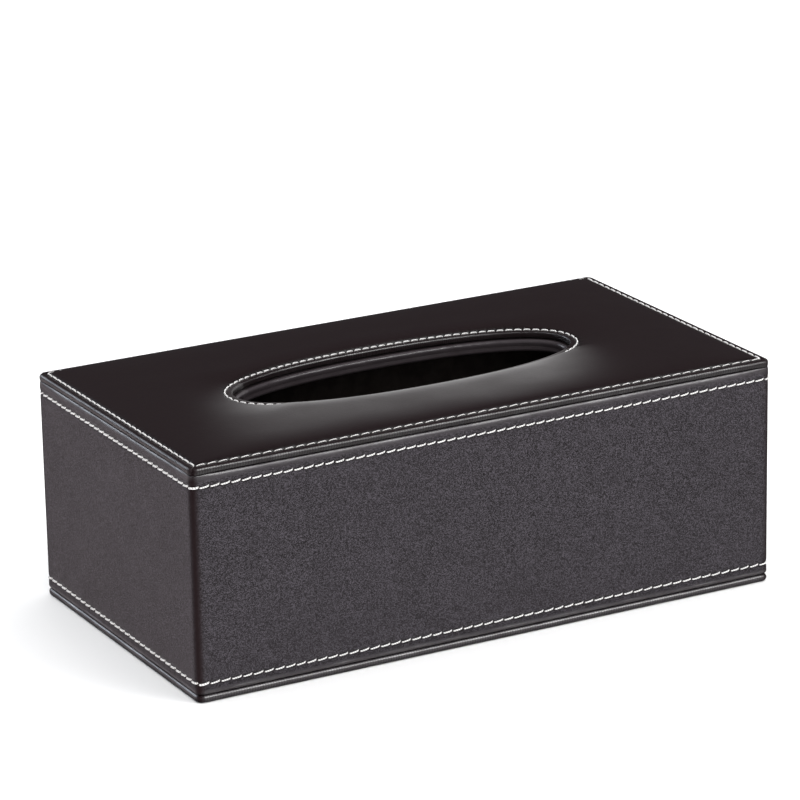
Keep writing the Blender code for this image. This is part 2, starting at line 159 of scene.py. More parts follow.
class Graph:
    """A node tree."""

    def __init__(self, tree: bpy.types.NodeTree) -> None:
        """Take a tree to add nodes to."""
        self.tree = tree

    def node(
        self,
        kind: str,
        settings: Mapping[str, object] | None = None,
        inputs: Mapping[int | str, Given] | None = None,
    ) -> bpy.types.Node:
        """Add a node.

        Args:
            kind: The node's type.
            settings: Its own settings, which are set before its sockets.
            inputs: The value of each socket, or what is linked to it.

        Returns:
            The node.
        """
        made = self.tree.nodes.new(kind)
        for key, setting in (settings or {}).items():
            setattr(made, key, setting)
        for key, given in (inputs or {}).items():
            self.feed(made.inputs[key], given)
        return made

    def feed(self, socket: bpy.types.NodeSocket, given: Given) -> None:
        """Link a socket, or set it where what is given is no output.

        Args:
            socket: The socket.
            given: An output to link to it, or its value.
        """
        if isinstance(given, Value):
            self.tree.links.new(given.socket, socket)
        elif isinstance(given, bpy.types.NodeSocket):
            self.tree.links.new(given, socket)
        else:
            socket.default_value = given

    def math(self, operation: str, first: Value | float, second: Value | float = 0.0) -> Value:
        """The result of one Math node.

        Args:
            operation: The Math node's operation.
            first: Its first number.
            second: Its second number, where the operation takes one.

        Returns:
            The node's output.
        """
        made = self.node("ShaderNodeMath", {"operation": operation}, {0: first, 1: second})
        return Value(self, made.outputs[0])

    def place(self) -> bpy.types.NodeSocket:
        """Each point's place on the object, in metres."""
        return self.node("ShaderNodeTexCoord").outputs["Object"]

    def uv(self, name: str) -> tuple[Value, Value]:
        """The two numbers of a UV map.

        Args:
            name: The map's name.

        Returns:
            Its first and second number.
        """
        made = self.node("ShaderNodeUVMap", {"uv_map": name})
        split = self.node("ShaderNodeSeparateXYZ", {}, {0: made.outputs["UV"]})
        return Value(self, split.outputs["X"]), Value(self, split.outputs["Y"])

    def attribute(self, name: str) -> Value:
        """A number that the mesh holds at each point."""
        return Value(self, self.node("ShaderNodeAttribute", {"attribute_name": name}).outputs["Fac"])

    def stretched(self, place: bpy.types.NodeSocket, scale: Sequence[float]) -> bpy.types.NodeSocket:
        """A place scaled along each axis."""
        made = self.node("ShaderNodeVectorMath", {"operation": "MULTIPLY"}, {0: place, 1: scale})
        return made.outputs["Vector"]

    def joined(self, across: Value, up: Value) -> bpy.types.NodeSocket:
        """A place made of two numbers."""
        made = self.node("ShaderNodeCombineXYZ", {}, {"X": across, "Y": up})
        return made.outputs["Vector"]

    def warped(self, place: bpy.types.NodeSocket, size: float, reach: float) -> bpy.types.NodeSocket:
        """A place pushed about by noise.

        Args:
            place: The place to push.
            size: The size of the noise's features.
            reach: How far it pushes.

        Returns:
            The pushed place.
        """
        cloud = self.node("ShaderNodeTexNoise", {}, {"Vector": place, "Scale": 1 / size, "Detail": 2.0})
        push = self.node(
            "ShaderNodeVectorMath",
            {"operation": "MULTIPLY_ADD"},
            {0: cloud.outputs["Color"], 1: (reach, reach, reach), 2: place},
        )
        return push.outputs["Vector"]

    def noise(self, place: bpy.types.NodeSocket, size: float, detail: float = 3.0) -> Value:
        """Noise from about 0 to 1 whose features have a size."""
        made = self.node("ShaderNodeTexNoise", {}, {"Vector": place, "Scale": 1 / size, "Detail": detail})
        return Value(self, made.outputs["Fac"])

    def cells(self, place: bpy.types.NodeSocket, size: float, feature: str = "F1") -> Value:
        """The distance of a Voronoi pattern whose cells have a size."""
        made = self.node("ShaderNodeTexVoronoi", {"feature": feature}, {"Vector": place, "Scale": 1 / size})
        return Value(self, made.outputs["Distance"])

    def mosaic(self, place: bpy.types.NodeSocket, size: float) -> Value:
        """A number from 0 to 1, drawn at random for each of many cells.

        Args:
            place: The place to read.
            size: The cells' size.

        Returns:
            The number.
        """
        made = self.node("ShaderNodeTexVoronoi", {}, {"Vector": place, "Scale": 1 / size})
        split = self.node("ShaderNodeSeparateColor", {}, {"Color": made.outputs["Color"]})
        return Value(self, split.outputs["Red"])

    def mix(self, share: Value, first: Given, second: Given) -> bpy.types.NodeSocket:
        """A colour between two colours.

        Args:
            share: The second colour's share.
            first: The first colour.
            second: The second colour.

        Returns:
            The colour.
        """
        pair = [(*c, 1.0) if isinstance(c, tuple) else c for c in (first, second)]
        made = self.node("ShaderNodeMix", {"data_type": "RGBA"}, {0: share, 6: pair[0], 7: pair[1]})
        return made.outputs[2]

    def bump(self, height: Value) -> bpy.types.NodeSocket:
        """The normal of a surface raised by a height in metres."""
        made = self.node("ShaderNodeBump", {}, {"Height": height, "Distance": 1.0, "Strength": 1.0})
        return made.outputs["Normal"]


class Paint(Graph):
    """The node tree of one material, which ends in a Principled shader."""

    def __init__(self, name: str) -> None:
        """Start the material.

        Args:
            name: The material's name.
        """
        self.material = bpy.data.materials.new(name)
        self.material.use_nodes = True
        super().__init__(self.material.node_tree)
        self.shader = self.tree.nodes["Principled BSDF"]

    def set(self, **inputs: Given) -> None:
        """Feed the shader's sockets. An underscore in a name stands for a space."""
        for key, given in inputs.items():
            self.feed(self.shader.inputs[key.replace("_", " ")], given)


# Finishes


class Grain(Enum):
    """How much of its grain a leather shows."""

    SATIN = 0.35
    PEBBLED = 1.0


@dataclass(frozen=True)
class LeatherFinish:
    """Coated leather. Roll, seam and corner are numbers that its skins hold at each point.

    Sizes, lengths, pitches and depths are in metres, and the warp is measured in grains. Edges are
    where a smooth step starts and ends.
    """

    name: str
    colour: Colour
    crease_colour: Colour
    # The colour painted on the rolled edges. On the walls and the base it is far lighter than the flat
    # leather: a painted highlight, with some wear of the edges.
    roll_colour: Colour
    roughness: float
    grain: Grain
    fleck_colour: Colour = (0.0, 0.0, 0.0)
    # Painted shade: round the box's corners the rolled edges are painted darker, most of all on the walls
    # and the base.
    corner_shade_colour: Colour = (0.011, 0.0045, 0.0055)
    # Painted shade in the stitch grooves. The walls' hem below the lower seam is darkened with it too.
    seam_shade_colour: Colour = (0.003, 0.002, 0.002)
    seam_shade: float = 0.8
    roll_roughness: float = 0.30
    roll_coat: float = 1.0
    coat_roughness: float = 0.34
    coat_index: float = 2.7
    corner_roughness: float = 0.9
    roughness_spread: float = 0.10
    fleck_size: float = 0.0006
    fleck_share: float = 0.0
    fleck_power: float = 1.5
    fleck_dulling: float = 0.6
    crease_share: float = 0.6
    crease_edges: Span = (0.35, 0.75)
    grain_size: float = 0.0009
    grain_depth: float = 0.00006
    grain_lost: float = 0.75
    warp_size: float = 3.0
    warp_reach: float = 0.6
    pore_size: float = 0.00035
    pore_depth: float = 0.000012
    rib_pitch: float = 0.0011
    rib_depth: float = 0.00009
    rib_shade: float = 0.55
    rib_edges: Span = (0.1, 0.5)
    streak_size: float = 0.0007
    streak_length: float = 0.014
    streak_depth: float = 0.00018
    streak_shade: float = 0.5
    pinch_depth: float = 0.00012
    pinch_power: float = 3.0
    sag_size: float = 0.030
    sag_depth: float = 0.00010
    fold_size: float = 0.0065
    fold_depth: float = 0.00060
    patch_size: float = 0.012
    worn_edges: Span = (0.35, 0.65)
    worn_shade: float = 0.5
    fade_start: float = 0.3
    fade_share: float = 0.3
    index: float = 1.5

    def material(self) -> bpy.types.Material:
        """Build the finish.

        Returns:
            The material.
        """
        graph = Paint(self.name)
        place = graph.place()
        bent = graph.warped(place, self.grain_size * self.warp_size, self.grain_size * self.warp_reach)
        along, across = graph.uv(ROUND_MAP)
        stitch, _ = graph.uv(STITCH_MAP)
        strip = graph.joined(along * (self.streak_size / self.streak_length), across)
        streaks = graph.noise(strip, self.streak_size, detail=2.0)
        roll = graph.attribute("roll")
        seam = graph.attribute("seam")
        corner = graph.attribute("corner")
        pebbles = graph.cells(bent, self.grain_size, "SMOOTH_F1")
        pores = graph.noise(place, self.pore_size, detail=2.0)
        patches = graph.noise(place, self.patch_size)
        sag = graph.noise(place, self.sag_size, detail=1.0)
        folds = graph.noise(place, self.fold_size, detail=1.0)
        stretched = 1 - graph.math("MAXIMUM", roll, corner) * self.grain_lost
        ribs = (along / self.rib_pitch).wave() * patches.steps(*self.rib_edges)
        pinch = (stitch + QUARTER_WAVE).wave() ** self.pinch_power * seam
        height = (
            pebbles * stretched * (-self.grain_depth * self.grain.value)
            + pores * stretched * self.pore_depth
            + ribs * roll * self.rib_depth
            + streaks * roll * self.streak_depth
            + folds * roll * self.fold_depth
            - pinch * self.pinch_depth
            + sag * self.sag_depth
        )
        valleys = pebbles.steps(*self.crease_edges) * self.grain.value
        flecks = graph.mosaic(place, self.fleck_size) ** self.fleck_power
        worn = patches.steps(*self.worn_edges).lifted(self.worn_shade)
        dull = (1 - ribs * self.rib_shade) * (1 - flecks * self.fleck_share * self.fleck_dulling)
        polish = dull * worn * streaks.lifted(self.streak_shade)
        fleck = graph.mix(flecks * self.fleck_share, self.colour, self.fleck_colour)
        base = graph.mix(valleys * self.crease_share, fleck, self.crease_colour)
        faded = graph.mix((patches - self.fade_start) * self.fade_share, base, self.crease_colour)
        # Painted highlight, with some wear: the roll number lightens the rolled edges.
        rolled = graph.mix(roll, faded, self.roll_colour)
        # Painted shade along the stitch grooves.
        seam_shaded = graph.mix(seam * seam * self.seam_shade, rolled, self.seam_shade_colour)
        graph.set(
            # Painted shade round the corners.
            Base_Color=graph.mix(corner, seam_shaded, self.corner_shade_colour),
            Roughness=self.roughness
            + (patches - 0.5) * self.roughness_spread
            + (pores - 0.5) * self.roughness_spread
            + roll * (self.roll_roughness - self.roughness)
            + corner * (self.corner_roughness - self.roughness),
            Normal=graph.bump(height),
            IOR=self.index,
            Coat_Weight=roll * (1 - corner) * polish * self.roll_coat,
            Coat_Roughness=self.coat_roughness,
            Coat_IOR=self.coat_index,
        )
        return graph.material


@dataclass(frozen=True)
class ThreadFinish:
    """Bonded sewing thread, with its plies twisted along it."""

    name: str
    colour: Colour
    # Painted shade in the grooves between the plies.
    ply_shade_colour: Colour
    plies_per_stitch: float = 5.0
    ply_depth: float = 0.00007
    groove_edges: Span = (0.0, 0.55)
    fuzz_size: float = 0.00012
    fuzz_depth: float = 0.00002
    roughness: float = 0.62
    roughness_spread: float = 0.2

    def material(self) -> bpy.types.Material:
        """Build the finish.

        Returns:
            The material.
        """
        graph = Paint(self.name)
        along, around = graph.uv(ROUND_MAP)
        plies = (along * self.plies_per_stitch + around).wave()
        fuzz = graph.noise(graph.place(), self.fuzz_size)
        graph.set(
            # The plies' grooves are painted darker: painted shade.
            Base_Color=graph.mix(plies.steps(*self.groove_edges), self.ply_shade_colour, self.colour),
            Roughness=self.roughness + fuzz * self.roughness_spread,
            Normal=graph.bump(plies * self.ply_depth + fuzz * self.fuzz_depth),
        )
        return graph.material


@dataclass(frozen=True)
class ClothFinish:
    """Thin brushed lining cloth."""

    name: str
    colour: Colour
    nap_colour: Colour
    thread_size: float = 0.0005
    nap_size: float = 0.006
    nap_edges: Span = (0.3, 0.7)
    depth: float = 0.00006
    roughness: float = 0.85
    roughness_spread: float = 0.12

    def material(self) -> bpy.types.Material:
        """Build the finish.

        Returns:
            The material.
        """
        graph = Paint(self.name)
        place = graph.place()
        fine = graph.noise(place, self.thread_size, detail=4.0)
        nap = graph.noise(graph.warped(place, self.nap_size, self.nap_size), self.nap_size)
        graph.set(
            Base_Color=graph.mix(nap.steps(*self.nap_edges), self.colour, self.nap_colour),
            Roughness=self.roughness + fine * self.roughness_spread,
            Normal=graph.bump(fine * self.depth),
        )
        return graph.material


@dataclass(frozen=True)
class BoardFinish:
    """Pressed board, with fibres and specks. A warp and a speck are measured in fibres."""

    name: str
    colour: Colour
    fibre_colour: Colour
    fibre_size: float = 0.0008
    fibre_stretch: tuple[float, float, float] = (0.35, 1.0, 1.0)
    fibre_edges: Span = (0.3, 0.75)
    warp_size: float = 4.0
    speck_size: float = 3.0
    speck_edges: Span = (0.0, 0.25)
    depth: float = 0.00004
    roughness: float = 0.8
    roughness_spread: float = 0.15

    def material(self) -> bpy.types.Material:
        """Build the finish.

        Returns:
            The material.
        """
        graph = Paint(self.name)
        lengthwise = graph.stretched(graph.place(), self.fibre_stretch)
        bent = graph.warped(lengthwise, self.fibre_size * self.warp_size, self.fibre_size)
        fibres = graph.noise(bent, self.fibre_size)
        specks = graph.cells(lengthwise, self.fibre_size * self.speck_size).steps(*self.speck_edges)
        shown = fibres.steps(*self.fibre_edges) * specks
        graph.set(
            Base_Color=graph.mix(shown, self.fibre_colour, self.colour),
            Roughness=self.roughness + fibres * self.roughness_spread,
            Normal=graph.bump(fibres * self.depth),
        )
        return graph.material


@dataclass(frozen=True)
class FoamFinish:
    """Open-celled foam."""

    name: str
    colour: Colour
    # Painted shade in the cells' hollows.
    pore_shade_colour: Colour
    cell_size: float = 0.0007
    cell_edges: Span = (0.0, 0.6)
    depth: float = 0.00015
    roughness: float = 0.9
    roughness_spread: float = 0.08

    def material(self) -> bpy.types.Material:
        """Build the finish.

        Returns:
            The material.
        """
        graph = Paint(self.name)
        cells = graph.cells(graph.place(), self.cell_size).steps(*self.cell_edges)
        graph.set(
            # The cells' sunken middles are painted darker: painted shade.
            Base_Color=graph.mix(cells, self.pore_shade_colour, self.colour),
            Roughness=self.roughness + cells * self.roughness_spread,
            Normal=graph.bump(cells * self.depth),
        )
        return graph.material


@dataclass(frozen=True)
class MetalFinish:
    """Plated or rolled metal with fine marks along X."""

    name: str
    colour: Colour
    mark_colour: Colour
    roughness: float
    roughness_spread: float = 0.15
    mark_size: float = 0.0004
    mark_stretch: tuple[float, float, float] = (0.06, 1.0, 1.0)
    depth: float = 0.000004

    def material(self) -> bpy.types.Material:
        """Build the finish.

        Returns:
            The material.
        """
        graph = Paint(self.name)
        lengthwise = graph.stretched(graph.place(), self.mark_stretch)
        marks = graph.noise(lengthwise, self.mark_size, detail=4.0)
        graph.set(
            Base_Color=graph.mix(marks, self.mark_colour, self.colour),
            Roughness=self.roughness + marks * self.roughness_spread,
            Normal=graph.bump(marks * self.depth),
            Metallic=1.0,
        )
        return graph.material


@dataclass(frozen=True)
class FloorFinish:
    """A matt white studio floor."""

    name: str
    colour: Colour
    shade_colour: Colour
    cloud_size: float = 0.4
    roughness: float = 0.95

    def material(self) -> bpy.types.Material:
        """Build the finish.

        Returns:
            The material.
        """
        graph = Paint(self.name)
        clouds = graph.noise(graph.place(), self.cloud_size)
        graph.set(
            Base_Color=graph.mix(clouds, self.shade_colour, self.colour),
            Roughness=self.roughness,
            Specular_IOR_Level=0.0,
        )
        return graph.material


Finish = LeatherFinish | ThreadFinish | ClothFinish | BoardFinish | FoamFinish | MetalFinish | FloorFinish

PANEL_LEATHER = LeatherFinish(
    name="satin panel leather",
    colour=(0.0085, 0.0045, 0.0050),
    crease_colour=(0.0095, 0.0052, 0.0060),
    roll_colour=(0.0095, 0.0058, 0.0064),
    roughness=0.40,
    grain=Grain.SATIN,
)
WALL_LEATHER = LeatherFinish(
    name="grained wall leather",
    colour=(0.0080, 0.0060, 0.0067),
    crease_colour=(0.0070, 0.0050, 0.0055),
    # Rolled edges painted far lighter than the wall: a painted highlight, with some wear.
    roll_colour=(0.044, 0.037, 0.041),
    roughness=0.38,
    grain=Grain.PEBBLED,
    fleck_colour=(0.097, 0.086, 0.102),
    coat_roughness=0.42,
    fleck_size=0.00029,
    fleck_share=0.9,
    crease_share=0.3,
    grain_size=0.00042,
    grain_depth=0.00013,
    rib_depth=0.00002,
    rib_shade=0.0,
    index=1.40,
)
BASE_LEATHER = LeatherFinish(
    name="base leather",
    colour=(0.020, 0.0155, 0.0165),
    crease_colour=(0.012, 0.0090, 0.0095),
    roll_colour=(0.036, 0.030, 0.033),
    roughness=0.42,
    grain=Grain.PEBBLED,
)
BINDING_LEATHER = replace(
    BASE_LEATHER, name="slot binding leather", rib_depth=0.0, streak_depth=0.00006, roll_coat=0.0
)
HINGE_LEATHER = LeatherFinish(
    name="hinge leather",
    colour=(0.026, 0.019, 0.024),
    crease_colour=(0.015, 0.0105, 0.0125),
    roll_colour=(0.016, 0.0125, 0.013),
    roughness=0.46,
    grain=Grain.PEBBLED,
)
THREAD = ThreadFinish(
    name="white thread",
    colour=(0.78, 0.78, 0.78),
    ply_shade_colour=(0.42, 0.39, 0.37),
)
LINING = ClothFinish(name="lining cloth", colour=(0.030, 0.024, 0.022), nap_colour=(0.046, 0.038, 0.035))
FIBREBOARD = BoardFinish(name="fibreboard", colour=(0.36, 0.24, 0.14), fibre_colour=(0.22, 0.14, 0.08))
GREYBOARD = BoardFinish(name="greyboard", colour=(0.31, 0.29, 0.26), fibre_colour=(0.17, 0.16, 0.14))
FOAM = FoamFinish(name="pad foam", colour=(0.78, 0.75, 0.68), pore_shade_colour=(0.52, 0.49, 0.42))
NICKEL = MetalFinish(
    name="magnet nickel",
    colour=(0.66, 0.64, 0.60),
    mark_colour=(0.52, 0.50, 0.46),
    roughness=0.16,
)
STEEL = MetalFinish(
    name="plate steel",
    colour=(0.55, 0.55, 0.56),
    mark_colour=(0.36, 0.36, 0.37),
    roughness=0.28,
)
FLOOR = FloorFinish(name="studio floor", colour=(0.90, 0.90, 0.90), shade_colour=(0.88, 0.88, 0.88))


class Wardrobe:
    """Builds each finish once and puts it on pieces."""

    def __init__(self) -> None:
        """Start with no finish built."""
        self.made: dict[str, bpy.types.Material] = {}

    def dress(self, obj: bpy.types.Object, finish: Finish) -> None:
        """Give every face of a piece one finish.

        Args:
            obj: The piece, or a node of the frame.
            finish: The finish that it shows.
        """
        if finish.name not in self.made:
            self.made[finish.name] = finish.material()
        if not obj.data.materials:
            obj.data.materials.append(None)
        for index in range(len(obj.data.materials)):
            obj.data.materials[index] = self.made[finish.name]


# Outlines in plan. A turn goes from 0 to 1 round the cover, from the middle of the rear side and
# past the left end first.


@dataclass(frozen=True)
class BoxOutline:
    """The cover's outline, straight sides with round corners."""

    half_length: float
    half_width: float
    radius: float
    sharpest: float = 0.0003

    @property
    def perimeter(self) -> float:
        """The length of the outline."""
        straight = self.half_length + self.half_width - 2 * self.radius
        return 4 * straight + math.tau * self.radius

    def corner_turns(self) -> list[float]:
        """The turn at the middle of each corner.

        Returns:
            The four turns, in order.
        """
        side = 2 * (self.half_width - self.radius)
        end = 2 * (self.half_length - self.radius)
        arc = math.tau * self.radius / 4
        first = end / 2 + arc / 2
        second = first + arc + side
        third = second + arc + end
        fourth = third + arc + side
        return [place / self.perimeter for place in (first, second, third, fourth)]

    def turns(self, long_steps: int, short_steps: int, corner_steps: int) -> list[float]:
        """The turns of a skin's steps, which lie closer together round the corners.

        Args:
            long_steps: Steps along the front, and along the rear.
            short_steps: Steps along each end.
            corner_steps: Steps round each corner.

        Returns:
            The turns from 0 to 1, both included.
        """
        long = 2 * (self.half_length - self.radius)
        short = 2 * (self.half_width - self.radius)
        arc = (math.tau * self.radius / 4, corner_steps)
        half = (long / 2, long_steps // 2)
        end = (short, short_steps)
        places = [0.0]
        for length, steps in (half, arc, end, arc, (long, long_steps), arc, end, arc, half):
            start = places[-1]
            places += [start + length * (index + 1) / steps for index in range(steps)]
        return [place / places[-1] for place in places]

    def walk(self, turn: float) -> tuple[int, float, float]:
        """Where a turn lies.

        Args:
            turn: The share of the way round.

        Returns:
            The side, from 0 at the rear, the share of it gone by, from -1 to 1, and how far round
            the corner after it the turn lies, from 0 to 1.
        """
        side = 2 * (self.half_width - self.radius)
        end = 2 * (self.half_length - self.radius)
        arc = math.tau * self.radius / 4
        gone = (turn % 1.0) * self.perimeter + end / 2
        for index in range(5):
            length = (end, side)[index % 2]
            if gone <= length:
                return index % 4, 2 * gone / length - 1, 0.0
            gone -= length
            if gone <= arc:
                return index % 4, 1.0, gone / arc
            gone -= arc
        return 0, -1.0, 0.0

    def heading(self, turn: float) -> float:
        """The angle from +X at which the outline faces outwards."""
        side, _, corner = self.walk(turn)
        return math.pi / 2 * (1 + side + corner)

    def outward(self, turn: float) -> Vector:
        """The outward direction."""
        angle = self.heading(turn)
        return Vector((math.cos(angle), math.sin(angle), 0))

    def cornering(self, turn: float, reach: float) -> float:
        """How far a turn lies within a corner, from 0 to 1 at its middle.

        Args:
            turn: The share of the way round.
            reach: How far past the corner's ends it fades out.

        Returns:
            The share.
        """
        near = min(
            min(abs(turn % 1.0 - corner), 1 - abs(turn % 1.0 - corner)) for corner in self.corner_turns()
        )
        away = near * self.perimeter / (math.tau * self.radius / 8 + reach)
        return max(0.0, 1 - away * away)

    def point(self, turn: float, inset: float = 0.0, height: float = 0.0) -> Vector:
        """A point of the outline.

        Args:
            turn: The share of the way round.
            inset: How far inside the cover's own outline the point lies.
            height: Its height.

        Returns:
            The point.
        """
        radius = max(self.radius - inset, self.sharpest)
        x_centre = self.half_length - inset - radius
        y_centre = self.half_width - inset - radius
        side, along, _ = self.walk(turn)
        angle = self.heading(turn)
        x_sign, y_sign, x_run, y_run = ((0, 1, -1, 0), (-1, 0, 0, -1), (0, -1, 1, 0), (1, 0, 0, 1))[side]
        x = x_centre * (x_sign + x_run * along) + radius * math.cos(angle)
        y = y_centre * (y_sign + y_run * along) + radius * math.sin(angle)
        return Vector((x, y, height))

    def ring(self, inset: float, height: float) -> Ring:
        """A level ring inside the outline."""
        return lambda turn: self.point(turn, inset, height)


@dataclass(frozen=True)
class SlotOutline:
    """The slot's oval, a superellipse."""

    half_length: float
    half_width: float
    exponent: float = 2.25
    end_share: float = 0.4

    def point(self, turn: float, outset: float = 0.0, height: float = 0.0) -> Vector:
        """A point of the oval.

        Args:
            turn: The share of the way round.
            outset: How far outside the oval the point lies.
            height: Its height.

        Returns:
            The point.
        """
        quarter = math.floor(turn % 1.0 * 4)
        share = turn % 1.0 * 4 - quarter
        even = math.pi / 2 * (share if quarter % 2 else 1 - share)
        angle = even - self.end_share / 2 * math.sin(2 * even)
        across = max(math.cos(angle), 0.0) ** (2 / self.exponent)
        along = max(math.sin(angle), 0.0) ** (2 / self.exponent)
        x_sign = -1 if quarter in (0, 1) else 1
        y_sign = 1 if quarter in (0, 3) else -1
        x = x_sign * (self.half_length + outset) * across
        y = y_sign * (self.half_width + outset) * along
        return Vector((x, y, height))

    def ring(self, outset: float, height: float) -> Ring:
        """A level ring round the oval."""
        return lambda turn: self.point(turn, outset, height)


# Seams


class SeamPath:
    """A closed line on the cover's surface, read by distance."""

    SAMPLES = 3000
    STEP = 0.0004

    def __init__(self, point: Ring, lift: Ring) -> None:
        """Measure the line.

        Args:
            point: The line's point at a turn.
            lift: The way that the surface faces there.
        """
        self.point = point
        self.lift = lift
        self.lengths = [0.0]
        before = point(0.0)
        for index in range(1, self.SAMPLES + 1):
            after = point(index / self.SAMPLES)
            self.lengths.append(self.lengths[-1] + (after - before).length)
            before = after

    @property
    def length(self) -> float:
        """The whole line's length."""
        return self.lengths[-1]

    def distance_at(self, turn: float) -> float:
        """The distance gone at a turn.

        Args:
            turn: The share of the way round.

        Returns:
            The distance along the line.
        """
        place = turn * self.SAMPLES
        index = min(int(place), self.SAMPLES - 1)
        return self.lengths[index] + (self.lengths[index + 1] - self.lengths[index]) * (place - index)

    def turn_at(self, distance: float) -> float:
        """The turn at a distance.

        Args:
            distance: How far along the line.

        Returns:
            The share of the way round.
        """
        wrapped = distance % self.length
        index = min(bisect_right(self.lengths, wrapped), self.SAMPLES) - 1
        span = self.lengths[index + 1] - self.lengths[index]
        return (index + (wrapped - self.lengths[index]) / span) / self.SAMPLES

    def place(self, distance: float, across: float, lift: float) -> Vector:
        """A point beside the line.

        Args:
            distance: How far along the line it lies.
            across: How far it lies to the side, outwards or upwards.
            lift: How far it stands off the surface.

        Returns:
            The point.
        """
        turn = self.turn_at(distance)
        before = self.point(self.turn_at(distance - self.STEP))
        after = self.point(self.turn_at(distance + self.STEP))
        up = self.lift(turn)
        side = (after - before).normalized().cross(up)
        return self.point(turn) + side * across + up * lift


@dataclass(frozen=True)
class Spacing:
    """Where the stitches of a closed seam lie: a whole number of them between each two marks."""

    path: SeamPath
    marks: tuple[float, ...]
    counts: tuple[int, ...]

    @classmethod
    def even(cls, path: SeamPath, pitch: float) -> "Spacing":
        """Stitches spaced evenly round a whole seam."""
        return cls(path, (0.0, path.length), (round(path.length / pitch),))

    @classmethod
    def cornered(cls, path: SeamPath, turns: Sequence[float], pitch: float) -> "Spacing":
        """Stitches that meet at corners.

        Args:
            path: The seam.
            turns: The corners' turns, in order.
            pitch: The distance between stitches, nearly.

        Returns:
            The spacing.
        """
        corners = [path.distance_at(turn) for turn in turns]
        marks = (*corners, corners[0] + path.length)
        counts = [round((end - start) / pitch) for start, end in zip(marks, marks[1:], strict=False)]
        return cls(path, marks, tuple(counts))

    def middles(self) -> list[float]:
        """Each stitch's distance along the seam.

        Returns:
            The distance of each stitch's middle.
        """
        found = []
        for start, end, count in zip(self.marks, self.marks[1:], self.counts, strict=False):
            found += [start + (end - start) * (index + 0.5) / count for index in range(count)]
        return found

    def phase(self, turn: float) -> float:
        """How many stitches lie between the first mark and a turn.

        Args:
            turn: The share of the way round.

        Returns:
            The number of stitches, with a fraction.
        """
        distance = self.path.distance_at(turn)
        passed = 0
        if distance < self.marks[0]:
            distance += self.path.length
            passed = -sum(self.counts)
        for start, end, count in zip(self.marks, self.marks[1:], self.counts, strict=False):
            if distance <= end:
                return passed + count * (distance - start) / (end - start)
            passed += count
        return float(passed)


# Skins


@dataclass(frozen=True)
class Station:
    """One ring of a skin, and how the leather looks along it."""

    ring: Ring
    roll: float = 0.0
    seam: float = 0.0
    spacing: Spacing | None = None
    corner: float = 0.0

    def phase(self, turn: float) -> float:
        """How many stitches of the nearest seam lie before a turn."""
        return self.spacing.phase(turn) if self.spacing else 0.0


@dataclass(frozen=True)
class Skin:
    """A leather skin drawn through rings."""

    name: str
    outline: BoxOutline
    stations: Sequence[Station]
    turns: Sequence[float]
    corner_reach: float = 0.0002
    closed_middle: bool = False

    def section_lengths(self) -> list[float]:
        """How far along the section each ring lies, measured on the front.

        Returns:
            The distances.
        """
        points = [station.ring(0.5) for station in self.stations]
        lengths = [0.0]
        for before, after in zip(points, points[1:], strict=False):
            lengths.append(lengths[-1] + (after - before).length)
        return lengths

    def build(self, facing: Vector, station: int) -> bpy.types.Object:
        """Make the skin.

        Args:
            facing: The way that its outer side faces at the start of one ring.
            station: That ring.

        Returns:
            The skin's object, with no thickness yet.
        """
        mesh = bmesh.new()
        maps = [mesh.loops.layers.uv.new(name) for name in (ROUND_MAP, STITCH_MAP)]
        layers = [mesh.verts.layers.float.new(name) for name in ("roll", "seam", "corner")]
        steps, rows = len(self.turns) - 1, len(self.stations) - 1
        bmesh.ops.create_grid(mesh, x_segments=steps, y_segments=rows, size=0.5)
        places = {
            vert: (round((vert.co.x + 0.5) * steps), round((vert.co.y + 0.5) * rows))
            for vert in mesh.verts
        }
        self.lay_maps(mesh, maps, places)
        # The corner number marks where the painted corner shade falls. It fades in round each corner.
        corners = [self.outline.cornering(turn, self.corner_reach) for turn in self.turns]
        for vert, (step, row) in places.items():
            here = self.stations[row]
            vert.co = here.ring(self.turns[step] % 1.0)
            values = (here.roll, here.seam, corners[step] * here.corner)
            for layer, value in zip(layers, values, strict=True):
                vert[layer] = value
        probe = next(vert for vert, place in places.items() if place == (1, station))
        rim = {vert for vert, (_, row) in places.items() if row == rows}
        bmesh.ops.remove_doubles(mesh, verts=mesh.verts, dist=MERGE_DISTANCE)
        if self.closed_middle:
            rim_edges = [edge for edge in mesh.edges if edge.is_boundary and set(edge.verts) <= rim]
            bmesh.ops.contextual_create(mesh, geom=rim_edges)
        mesh.normal_update()
        if probe.normal.dot(facing) < 0:
            bmesh.ops.reverse_faces(mesh, faces=mesh.faces)
        return finished(self.name, mesh)

    def lay_maps(
        self,
        mesh: bmesh.types.BMesh,
        maps: Sequence[bmesh.types.BMLayerItem],
        places: Mapping[bmesh.types.BMVert, tuple[int, int]],
    ) -> None:
        """Lay the distances round and along the section, and the stitches, on the skin.

        Args:
            mesh: The skin's grid.
            maps: Its two UV maps.
            places: The step and row of each vertex.
        """
        lengths = self.section_lengths()
        phases = [[here.phase(turn) for turn in self.turns] for here in self.stations]
        for face in mesh.faces:
            for loop in face.loops:
                step, row = places[loop.vert]
                loop[maps[0]].uv = (self.turns[step] * self.outline.perimeter, lengths[row])
                loop[maps[1]].uv = (phases[row][step], 0.0)


def finished(name: str, mesh: bmesh.types.BMesh) -> bpy.types.Object:
    """An object at the origin that holds a mesh, shaded smooth.

    Args:
        name: The piece's name.
        mesh: Its mesh, which is freed.

    Returns:
        The object, linked to the scene.
    """
    data = bpy.data.meshes.new(name)
    mesh.to_mesh(data)
    mesh.free()
    data.shade_smooth()
    data.set_sharp_from_angle(angle=SMOOTH_ANGLE)
    obj = bpy.data.objects.new(name, data)
    bpy.context.scene.collection.objects.link(obj)
    return obj


